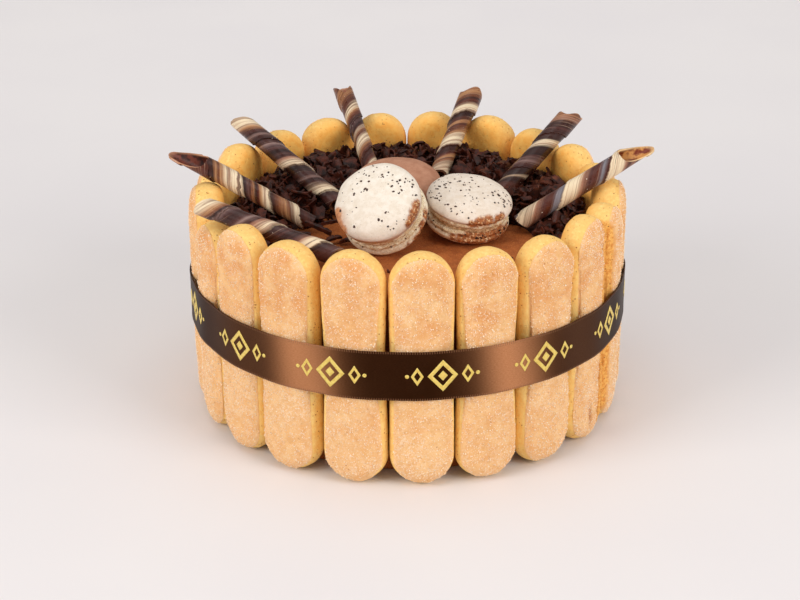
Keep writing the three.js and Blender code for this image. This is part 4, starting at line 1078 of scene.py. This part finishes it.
def shavings():
    look = Look("dark_chocolate", roughness=0.42, Specular_IOR_Level=0.24)
    c = look.mix(look.mask(look.noise(3.5, 3, 0.6), 0.34, 0.66), srgb(34, 12, 6), srgb(82, 35, 20))
    c = look.mix(look.mask(look.noise(1.1, 3, 0.7), 0.62, 0.80), c, srgb(108, 58, 36))
    c = look.mix(look.mask(look.noise(9, 2, 0.6), 0.60, 0.76), c, srgb(110, 55, 30))
    rough = look.math("ADD", look.math("MULTIPLY", look.noise(2.2, 3), 0.45), 0.26)
    dark = look.finish(c, rough, look.bump(look.noise(0.6, 3, 0.7, look.scaled(1, 1, 0.35)), 0.2, 0.6))

    # the bed under them: dark relief over the heap's footprint
    m, n = 220, 26
    az = np.linspace(HEAP_START + 3, HEAP_END - 3, m)
    inner, ends = heap_inner(az)
    s = np.linspace(0, 1, n)[:, None]
    r = inner[None, :] + 2.5 * noise(polar(az, 60 + 0 * az, 0 * az), 5, 72)[None, :] + 2 + (86.6 - inner[None, :] - 2) * s
    flat = polar(az[None, :] + 0 * r, r, 0 * r)
    bulge = np.sin(math.pi * np.clip(s, 0.0, 0.93)) ** 0.6
    z = CORE_TOP + (0.5 + ends[None, :] * (2.2 + 1.5 * noise(flat, 13, 71) + 1.6 * fbm(flat, 5, 3, 73))) * bulge
    edge = np.minimum(smooth(s, 0, 0.08) + 0 * z, smooth(np.minimum(az - az[0], az[-1] - az), 0, 4)[None, :])
    top = flat.copy()
    top[..., 2] = np.where(edge > 0, np.maximum(z, CORE_TOP - 0.2), CORE_TOP - 0.8)
    top[..., 2] = (CORE_TOP - 0.8) + (top[..., 2] - (CORE_TOP - 0.8)) * edge
    for roll in ROLLS:  # it dips under each roll
        a, b = np.array(roll["a"], float), np.array(roll["b"], float)
        d = b - a
        q = top.reshape(-1, 3)
        t = np.clip(((q[:, :2] - a[:2]) @ d[:2]) / (d[:2] @ d[:2]), -0.15, 1)
        near = np.linalg.norm(q[:, :2] - (a[:2] + t[:, None] * d[:2]), axis=1)
        under = a[2] + t * d[2] - roll["ra"] - 1.2
        q[:, 2] = np.where(near < 6.5, np.minimum(q[:, 2], np.maximum(under, CORE_TOP - 0.8)), q[:, 2])
        top = q.reshape(top.shape)
    base = flat.copy()
    base[..., 2] = CORE_TOP - 1.6
    co = np.concatenate([top.reshape(-1, 3), base.reshape(-1, 3)])
    g = grid(n, m)
    o = n * m
    faces = [g, g[:, ::-1] + o]
    j = np.arange(m - 1)
    faces.append(np.stack([j + 1, j, o + j, o + j + 1], 1))
    faces.append(np.stack([(n - 1) * m + j, (n - 1) * m + j + 1, o + (n - 1) * m + j + 1, o + (n - 1) * m + j], 1))
    i = np.arange(n - 1)
    faces.append(np.stack([i * m, (i + 1) * m, o + (i + 1) * m, o + i * m], 1))
    faces.append(np.stack([(i + 1) * m + m - 1, i * m + m - 1, o + i * m + m - 1, o + (i + 1) * m + m - 1], 1))
    if normals(co[:o], [g])[:, 2].mean() < 0:
        faces = [f[:, ::-1] for f in faces]
    make("shavings_bed", co, faces, dark, replaces=["shavings_heap"])

    # curled shavings
    parts_co, parts_f, first = [], [], 0

    def add(co, f):
        nonlocal first
        parts_co.append(co)
        parts_f.append(f + first)
        first += len(co)
    spots, sz = heap_spots(480, 1.0, (0.0, 0.9), 6.0)
    k = len(spots)
    add(*curls(spots, rng.uniform(1.8, 3.8, k), rng.uniform(2.0, 5.4, k), rng.uniform(3.0, 7.0, k), rng.uniform(0.6, 1.1, k), rng.uniform(-3.0, 3.0, k), 12, random_frames(k, 0.3)))
    spots, sz = heap_spots(460, 1.0, (0.2, 1.0), 7.0)
    k = len(spots)
    add(*curls(spots, rng.uniform(2.8, 6.5, k), rng.uniform(1.0, 3.0, k), rng.uniform(4.0, 9.0, k), rng.uniform(0.6, 1.3, k), rng.uniform(-2.5, 2.5, k), 10, random_frames(k, 0.35)))
    spots, sz = heap_spots(230, 1.0, (0.75, 1.15), 9.0)
    k = len(spots)
    add(*curls(spots, rng.uniform(2.6, 5.0, k), rng.uniform(2.2, 5.6, k), rng.uniform(5.0, 10.0, k), rng.uniform(0.7, 1.2, k), rng.uniform(-5, 5, k), 16, random_frames(k, 0.35)))
    make("shavings_curls", np.concatenate(parts_co), [np.concatenate(parts_f)], dark, smooth_faces=False)

    # splinters and straight sticks
    parts_co, parts_f, first = [], [], 0
    spots, sz = heap_spots(800, 1.0, (0.1, 0.9), 4.0)
    k = len(spots)
    add(*curls(spots, rng.uniform(5, 14, k), rng.uniform(0.25, 0.7, k), rng.uniform(1.2, 3.6, k), rng.uniform(0.7, 1.6, k), rng.uniform(-1, 1, k), 4, random_frames(k, 0.3)))
    spots, sz = heap_spots(70, 1.0, (0.8, 1.0), 14.0)
    k = len(spots)
    lie = rng.random(k) * 2 * math.pi
    y = unit(np.stack([np.cos(lie), np.sin(lie), rng.uniform(-0.3, 0.3, k)], 1))
    x = unit(np.cross(y, np.cross(np.array([0, 0, 1.0]), y)) + 0 * y)
    add(*curls(spots, rng.uniform(40, 70, k), rng.uniform(0.14, 0.28, k), rng.uniform(1.3, 2.6, k), rng.uniform(1.1, 1.9, k), rng.uniform(-1, 1, k), 6, (x, y, np.cross(x, y))))
    # loose bits on the bare cocoa in front of the heap's edge
    n = 260
    a = rng.uniform(HEAP_START, HEAP_END, n)
    inner, ends = heap_inner(a)
    r = inner - rng.exponential(3.5, n)
    p = polar(a, r, CORE_TOP + 0.5 + 0 * r)[(a > 80) | (r > 70)]
    extra = polar(rng.uniform(-62, 50, 46), rng.uniform(62, 85, 46), np.full(46, CORE_TOP + 0.35))
    p = np.concatenate([p[clear_of_things(p, 2.5)], extra[clear_of_things(extra, 2.5)]])
    k = len(p)
    add(*curls(p, rng.uniform(2, 9, k), rng.uniform(0.2, 0.8, k), rng.uniform(0.5, 1.8, k), rng.uniform(0.4, 0.9, k), rng.uniform(-.6, .6, k), 4, random_frames(k, 0.6)))
    for p0, p1, wide, high, bow in FEATURES:
        p0, p1 = np.array(p0, float), np.array(p1, float)
        d = p1 - p0
        length = np.linalg.norm(d)
        y = d / length
        x = unit(np.cross(y, np.cross(np.array([0, 0, 1.0]), y)))
        radius = length / bow
        one = np.ones(1)
        add(*curls(((p0 + p1) / 2)[None], radius * one, bow * one, wide * one, high * one, 0 * one, 10, (x[None], y[None], np.cross(x, y)[None])))
    make("shavings_splinters", np.concatenate(parts_co), [np.concatenate(parts_f)], dark, smooth_faces=False)


# ----------------------------------------------------------------------- ribbon
def hull_of(points):
    pts = sorted(set(map(tuple, np.round(points, 4))))
    turn = lambda o, a, b: (a[0] - o[0]) * (b[1] - o[1]) - (a[1] - o[1]) * (b[0] - o[0])

    def half(seq):
        h = []
        for q in seq:
            while len(h) >= 2 and turn(h[-2], h[-1], q) <= 0:
                h.pop()
            h.append(q)
        return h[:-1]
    return np.array(half(pts) + half(pts[::-1]))


def ribbon(plates):
    pts = []
    for co, faces, masks, local in plates:
        sel = (co[:, 2] > RIBBON_BOTTOM - 3) & (co[:, 2] < RIBBON_TOP + 3)
        pts.append(co[sel][:, :2])
    hull = hull_of(np.concatenate(pts))
    # start at the back and go round counter-clockwise, with the end lapped over the start
    step = 0.5
    closed = np.concatenate([hull, hull[:1]])
    seg = np.linalg.norm(np.diff(closed, axis=0), axis=1)
    cum = np.concatenate([[0], np.cumsum(seg)])
    total = cum[-1]
    fine = np.linspace(0, total, int(total / step), endpoint=False)
    ring = np.stack([np.interp(fine, cum, closed[:, 0]), np.interp(fine, cum, closed[:, 1])], 1)
    n = len(ring)
    ker = np.hanning(45)
    ker /= ker.sum()
    ring = np.stack([np.convolve(np.concatenate([ring[-22:, c], ring[:, c], ring[:22, c]]), ker, "valid") for c in (0, 1)], 1)
    tangent = np.roll(ring, -1, 0) - np.roll(ring, 1, 0)
    tangent = tangent / np.linalg.norm(tangent, axis=1, keepdims=True)
    out = np.stack([tangent[:, 1], -tangent[:, 0]], 1)
    start = int(np.argmax(ring[:, 1] - 0.3 * np.abs(ring[:, 0])))
    lap = int(22 / step)
    idx = (start + np.arange(n + lap)) % n
    path, nor = ring[idx], out[idx]
    count = len(path)
    s = np.arange(count) * (total / n)
    lift = 0.62 + 0.62 * smooth(s, s[-1] - 32, s[-1] - 22)
    wav = 0.10 * noise(np.stack([s, 0 * s, 0 * s], -1), 30, 81)

    def at(si, z, off):
        """Point on the ribbon at length si along it and height z, off mm above its middle."""
        x = np.interp(si, s, path[:, 0]) + np.interp(si, s, nor[:, 0]) * (RIBBON_CLEAR * 0.5 + off + np.interp(si, s, lift + wav))
        y = np.interp(si, s, path[:, 1]) + np.interp(si, s, nor[:, 1]) * (RIBBON_CLEAR * 0.5 + off + np.interp(si, s, lift + wav))
        return np.stack([x, y, z], -1)
    mid, half = (RIBBON_BOTTOM + RIBBON_TOP) / 2, (RIBBON_TOP - RIBBON_BOTTOM) / 2
    frac = np.array([-1, -0.965, -0.93, -0.8, -0.5, -0.17, 0.17, 0.5, 0.8, 0.93, 0.965, 1])
    thick = 0.16
    picot = 0.22 * np.abs(np.sin(math.pi * s / 1.1)) ** 0.7 * np.ones(count)
    rows, edge = [], []
    ss = np.broadcast_to(s, (len(frac), count))
    bead = np.where(np.abs(frac) > 0.92, 0.10, 0.0)[:, None] * (0.6 + 0.4 * np.sin(2 * math.pi * s / 1.1))[None, :]
    z = mid + frac[:, None] * (half - 0.22) + np.sign(frac)[:, None] * (np.abs(frac) > 0.99)[:, None] * picot[None, :] + 0 * ss
    sag = 0.10 * (1 - frac ** 2)[:, None] * noise(np.stack([ss, z, 0 * z], -1), 18, 82)
    front = at(ss, z, thick + bead + sag)
    rear = at(ss, z, -thick + sag)
    co = np.concatenate([front.reshape(-1, 3), rear[::-1].reshape(-1, 3)])
    r2 = 2 * len(frac)
    i = np.arange(r2)[:, None]
    j = np.arange(count - 1)[None, :]
    i2 = (i + 1) % r2
    faces = [np.stack(np.broadcast_arrays(i * count + j, i * count + j + 1, i2 * count + j + 1, i2 * count + j), -1).reshape(-1, 4)]
    # the cut ends
    q = len(frac)
    for col, flip in ((0, False), (count - 1, True)):
        k = np.arange(q - 1)
        f = np.stack([k * count + col, (k + 1) * count + col, (r2 - 2 - k) * count + col, (r2 - 1 - k) * count + col], 1)
        faces.append(f[:, ::-1] if flip else f)
    nrm = normals(co, faces)
    if (nrm[: q * count] * np.concatenate([co[: q * count, :2], np.zeros((q * count, 1))], 1)).sum(1).mean() < 0:
        faces = [f[:, ::-1] for f in faces]
    masks = {"run": np.concatenate([ss.ravel(), ss.ravel()]), "across": np.concatenate([(frac[:, None] * half + 0 * ss).ravel(), (frac[::-1, None] * half + 0 * ss).ravel()])}
    # painted highlight: the satin's colour is made paler in bands about 26 degrees either side of the front, where the
    # two key lights glint on it, and a little near 50 degrees
    facing = np.degrees(np.arctan2(co[:, 0], -co[:, 1])) + 0.10 * (co[:, 2] - mid)
    masks["painted_highlight"] = 0.82 * np.exp(-((facing + 26.5) / 9.0) ** 2) + 0.9 * np.exp(-((facing - 26.0) / 8.5) ** 2) + 0.22 * np.exp(-((np.abs(facing) - 50) / 12) ** 2)

    look = Look("satin_ribbon", roughness=0.52, Metallic=1.0, Anisotropic=0.92, Anisotropic_Rotation=0.25)
    tangent = look.node("ShaderNodeTangent", direction_type="RADIAL", axis="Z")
    look.link(tangent.outputs[0], look.shader.inputs["Tangent"])
    run, across = look.attr("run"), look.attr("across")
    vec = look.node("ShaderNodeCombineXYZ")
    look.link(run, vec.inputs[0])
    look.link(across, vec.inputs[1])
    thread = look.noise(0.28, 2, 0.6, look.scaled(0.25, 1, 1, vec.outputs[0]))
    cross = look.noise(0.5, 2, 0.6, look.scaled(1, 0.12, 1, vec.outputs[0]))
    c = look.mix(look.mask(thread, 0.3, 0.7), (0.048, 0.016, 0.006, 1), (0.070, 0.024, 0.009, 1))
    c = look.mix(look.mask(look.noise(14, 2), 0.40, 0.65), c, (0.052, 0.017, 0.006, 1))
    # painted highlight: paler satin colours mixed in by the mask above, in the bands where the key lights would glint
    c = look.mix(look.attr("painted_highlight"), c, look.mix(look.mask(thread, 0.3, 0.7), (0.40, 0.165, 0.070, 1), (0.50, 0.225, 0.105, 1)))
    edge = look.mask(look.math("ABSOLUTE", across), 11.2, 11.5)
    stitch = look.math("SINE", look.math("MULTIPLY", run, 2 * math.pi / 1.1), 0)
    c = look.mix(look.math("MULTIPLY", edge, look.mask(stitch, -0.2, 0.6)), c, (0.26, 0.12, 0.06, 1))
    h = look.math("ADD", thread, look.math("MULTIPLY", cross, 0.5))
    mat = look.finish(c, None, look.bump(h, 0.06, 0.5))
    band = make("ribbon_satin", co, faces, mat, masks, replaces=["ribbon"])

    # the gold print: a hollow lozenge round a small one, with a narrow hollow lozenge and a dot on each side
    gold_co, gold_f, first = [], [], 0
    step_len = total / 13

    def shape(s0, z0, outer, inner, n_t=72, n_w=4):
        nonlocal first
        t = np.arange(n_t) / n_t
        w = np.linspace(0, 1, n_w)[:, None, None]
        o, i = outer(t), inner(t)
        flat = o[None] * (1 - w) + i[None] * w
        top = at(s0 + flat[..., 0], z0 + flat[..., 1], thick + 0.13)
        low = at(s0 + flat[..., 0], z0 + flat[..., 1], thick - 0.15)
        co = np.concatenate([top.reshape(-1, 3), low.reshape(-1, 3)])
        g = grid(n_w, n_t, True)
        o2 = n_w * n_t
        j = np.arange(n_t)
        k = (j + 1) % n_t
        f = [g, g[:, ::-1] + o2, np.stack([k, j, o2 + j, o2 + k], 1)]
        last = (n_w - 1) * n_t
        f.append(np.stack([last + j, last + k, o2 + last + k, o2 + last + j], 1))
        gold_co.append(co)
        gold_f.append(np.concatenate(f) + first)
        first += len(co)

    def lozenge(hw, hh):
        def line(t):
            q = (t * 4) % 4
            k = np.floor(q).astype(int)
            f = (q - k)[:, None]
            corner = np.array([[hw, 0], [0, hh], [-hw, 0], [0, -hh], [hw, 0]], float)
            return corner[k] * (1 - f) + corner[k + 1] * f
        return line

    def circle(rad):
        return lambda t: np.stack([rad * np.cos(2 * math.pi * t), rad * np.sin(2 * math.pi * t)], 1)
    # the front of the cake shows a motif at this length along the ribbon
    ang = np.degrees(np.arctan2(path[:, 0], -path[:, 1]))
    s_front = s[int(np.argmin(np.abs(ang - 8.5)))]
    k0 = math.ceil((6 - s_front) / step_len)
    for k in range(13):
        s0 = s_front + (k0 + k) * step_len
        if s0 > s[-1] - 12:
            continue
        shape(s0, mid, lozenge(7.0, 7.9), lozenge(4.6, 5.2))
        shape(s0, mid, lozenge(2.2, 2.5), lozenge(0.02, 0.02))
        for side in (-1, 1):
            shape(s0 + side * 11.6, mid, lozenge(2.9, 4.6), lozenge(1.5, 2.4), 40)
            shape(s0 + side * 16.2, mid, circle(0.95), circle(0.02), 20, 2)
    g_co = np.concatenate(gold_co)
    g_f = np.concatenate(gold_f)
    g_co, g_faces, _ = weld(g_co, [g_f], {}, 1e-3)
    first_top = normals(g_co, g_faces)
    gold = Look("gold_print", roughness=0.36, Metallic=0.35)
    c = gold.mix(gold.mask(gold.noise(1.2, 3, 0.6), 0.35, 0.65), srgb(240, 214, 116), srgb(226, 192, 92))
    print_ob = make("ribbon_print", g_co, g_faces, gold.finish(c, None, gold.bump(gold.noise(0.4, 2), 0.04, 0.4)))
    print("ribbon length", round(float(s[-1]), 1), "ring", round(float(total), 1))


camera()
studio()
PLATES = biscuits()
sugar(PLATES)
cocoa_top()
macarons()
specks()
cigarillos()
shavings()
ribbon(PLATES)

dg = bpy.context.evaluated_depsgraph_get()
total_tris = 0
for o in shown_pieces():
    n = sum(len(p.vertices) - 2 for p in o.data.polygons)
    total_tris += n
    if n > 60000:
        print("piece", o.name, n)
print("triangles", total_tris)
